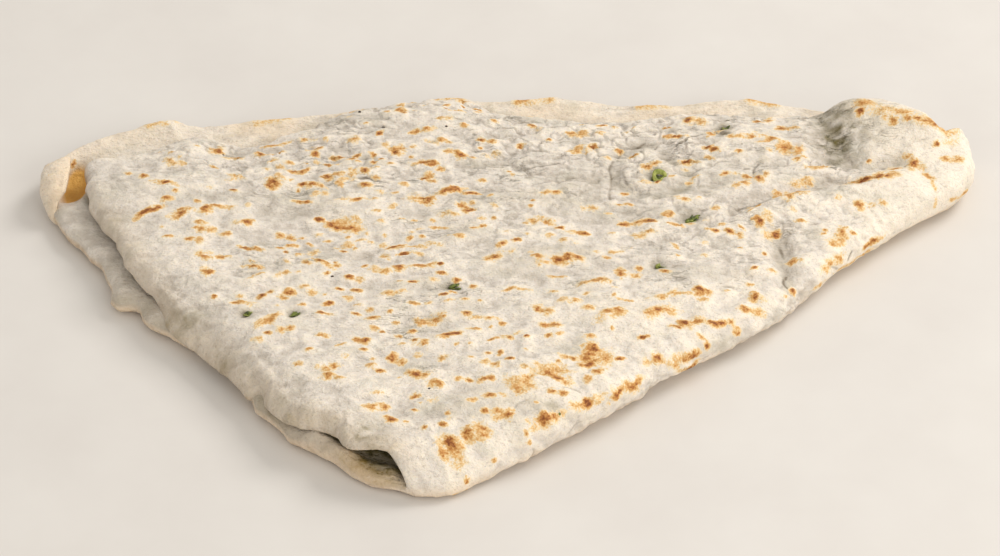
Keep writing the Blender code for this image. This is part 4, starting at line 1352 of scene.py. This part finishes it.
def dough_material():
    """Matt floury dough: grey hollows and cream swellings partly painted as shade and light, painted shade in
    the creases and wrinkles, amber to brown scorch marks with a pale edge.
    """
    n = Nodes("griddled_dough")
    grain = n.noise(1500, 2.0, (0.8, 1.2, 1.0))
    fibre = n.noise(620, 4.0, (0.8, 1.25, 1.0))
    flour = n.noise(330, 4.0, (0.8, 1.1, 1.0))
    dough = herbs_and_painted_shade(n, floury_dough(n, flour, fibre, grain), flour)
    wrinkle = thin_wrinkles(n)
    unbrowned = n.spread(n.field("browning"), 0.5, 0.0, 0.0, 0.5)
    # Painted shade in the thin wrinkles, left off the brown marks.
    dough = n.mix(n.times(wrinkle, unbrowned), dough, WRINKLE_SHADE)
    # Painted shade along the creases, olive-brown where the herbs show through.
    dough = n.mix(n.spread(n.field("crease"), 0.2, 0.95, 0.0, 0.85), dough, CREASE_SHADE_TINT)
    # The gold field: the dough's golden tone, with painted warm shade on the low sides, in the cleft and
    # under the curled lip.
    dough = n.mix(n.field("gold"), dough, GOLD_AND_WARM_SHADE)
    brown = scorched(n, flour)
    burnt = n.ramp(brown, (0.12, HALO), (0.36, PALE_AMBER), (0.59, AMBER), (0.80, BROWN), (1.0, DARK_BROWN))
    skin = n.mix(n.spread(brown, 0.04, 0.36), dough, burnt)
    normal = n.bump(flour, 0.0013, 0.75)
    normal = n.bump(fibre, 0.0008, 0.55, Normal=normal)
    normal = n.bump(grain, 0.0005, 0.6, Normal=normal)
    normal = n.bump(n.math("SUBTRACT", 1.0, wrinkle), 0.0005, 0.7, Normal=normal)
    rough = n.spread(brown, 0.2, 0.9, 0.8, 0.58)
    n.settle(Subsurface_Radius=SUBSURFACE_RADIUS, Subsurface_Scale=1.0, Subsurface_Weight=0.12)
    return n.settle(Base_Color=skin, Roughness=rough, Normal=normal, Specular_IOR_Level=0.3)


def herb_material(name, dark, middle, bright):
    """Cooked herb leaves, with veins and a moist sheen."""
    n = Nodes(name)
    veins = n.noise(900, 3.0, (1.0, 0.35, 1.0))
    tint = n.plus(n.field("tint"), n.spread(veins, 0.3, 0.7, -0.3, 0.3))
    leaf = n.ramp(tint, (0.0, dark), (0.5, middle), (1.0, bright))
    normal = n.bump(veins, 0.0004, 0.6)
    return n.settle(Base_Color=leaf, Roughness=n.spread(veins, 0.3, 0.7, 0.42, 0.65), Normal=normal)


def floor_material():
    n = Nodes("pale_floor")
    soft = n.noise(18, 4.0)
    colour = n.ramp(soft, (0.3, PALE_FLOOR[0]), (0.7, PALE_FLOOR[1]))
    rough = n.spread(soft, 0.3, 0.7, 0.5, 0.62)
    return n.settle(Base_Color=colour, Roughness=rough, Normal=n.bump(soft, 0.0005, 0.2))


# Stage, light and camera


def add_floor():
    mesh = bpy.data.meshes.new("floor")
    corners = [(x * FLOOR_SIDE, y * FLOOR_SIDE, 0) for x, y in ((-1, -1), (1, -1), (1, 1), (-1, 1))]
    mesh.from_pydata(corners, [], [(0, 1, 2, 3)])
    mesh.materials.append(floor_material())
    floor = in_scene("floor", mesh)
    floor.location.z = CAD_BOX[0][2] - FLOOR_DROP


def add_light(name, place, size, energy, colour):
    light = bpy.data.lights.new(name, "AREA")
    light.size = size
    light.energy = energy
    light.color = colour
    lamp = in_scene(name, light)
    lamp.location = place
    lamp.rotation_euler = (-Vector(place)).to_track_quat("-Z", "Y").to_euler()


def light_scene():
    world = bpy.data.worlds.new("studio")
    world.use_nodes = True
    background = world.node_tree.nodes["Background"]
    background.inputs["Color"].default_value = WORLD_COLOUR
    background.inputs["Strength"].default_value = WORLD_STRENGTH
    bpy.context.scene.world = world
    for name, place, size, energy, colour in LIGHTS:
        add_light(name, place, size, energy, colour)
    bpy.context.scene.view_settings.view_transform = "Standard"


def add_camera():
    tilt = math.radians(CAMERA_ELEVATION)
    view = Vector((0, math.cos(tilt), -math.sin(tilt)))
    camera = in_scene("camera", bpy.data.cameras.new("camera"))
    camera.location = Vector(CAMERA_TARGET) - view * CAMERA_DISTANCE
    camera.rotation_euler = view.to_track_quat("-Z", "Y").to_euler()
    camera.data.sensor_width = CAMERA_SENSOR
    camera.data.lens = CAMERA_LENS
    bpy.context.scene.camera = camera


def main():
    dough = dough_material()
    add_bread(dough)
    add_lip(dough)
    cooked = herb_material("cooked_herbs", *COOKED_HERBS)
    add_herb_layer(cooked)
    add_cleft_shreds(cooked)
    bright = herb_material("bright_herbs", *BRIGHT_HERBS)
    add_tear_herbs(bright)
    add_onion_ring(bright)
    add_flecks(herb_material("char", *CHARRED))
    add_floor()
    light_scene()
    add_camera()


main()
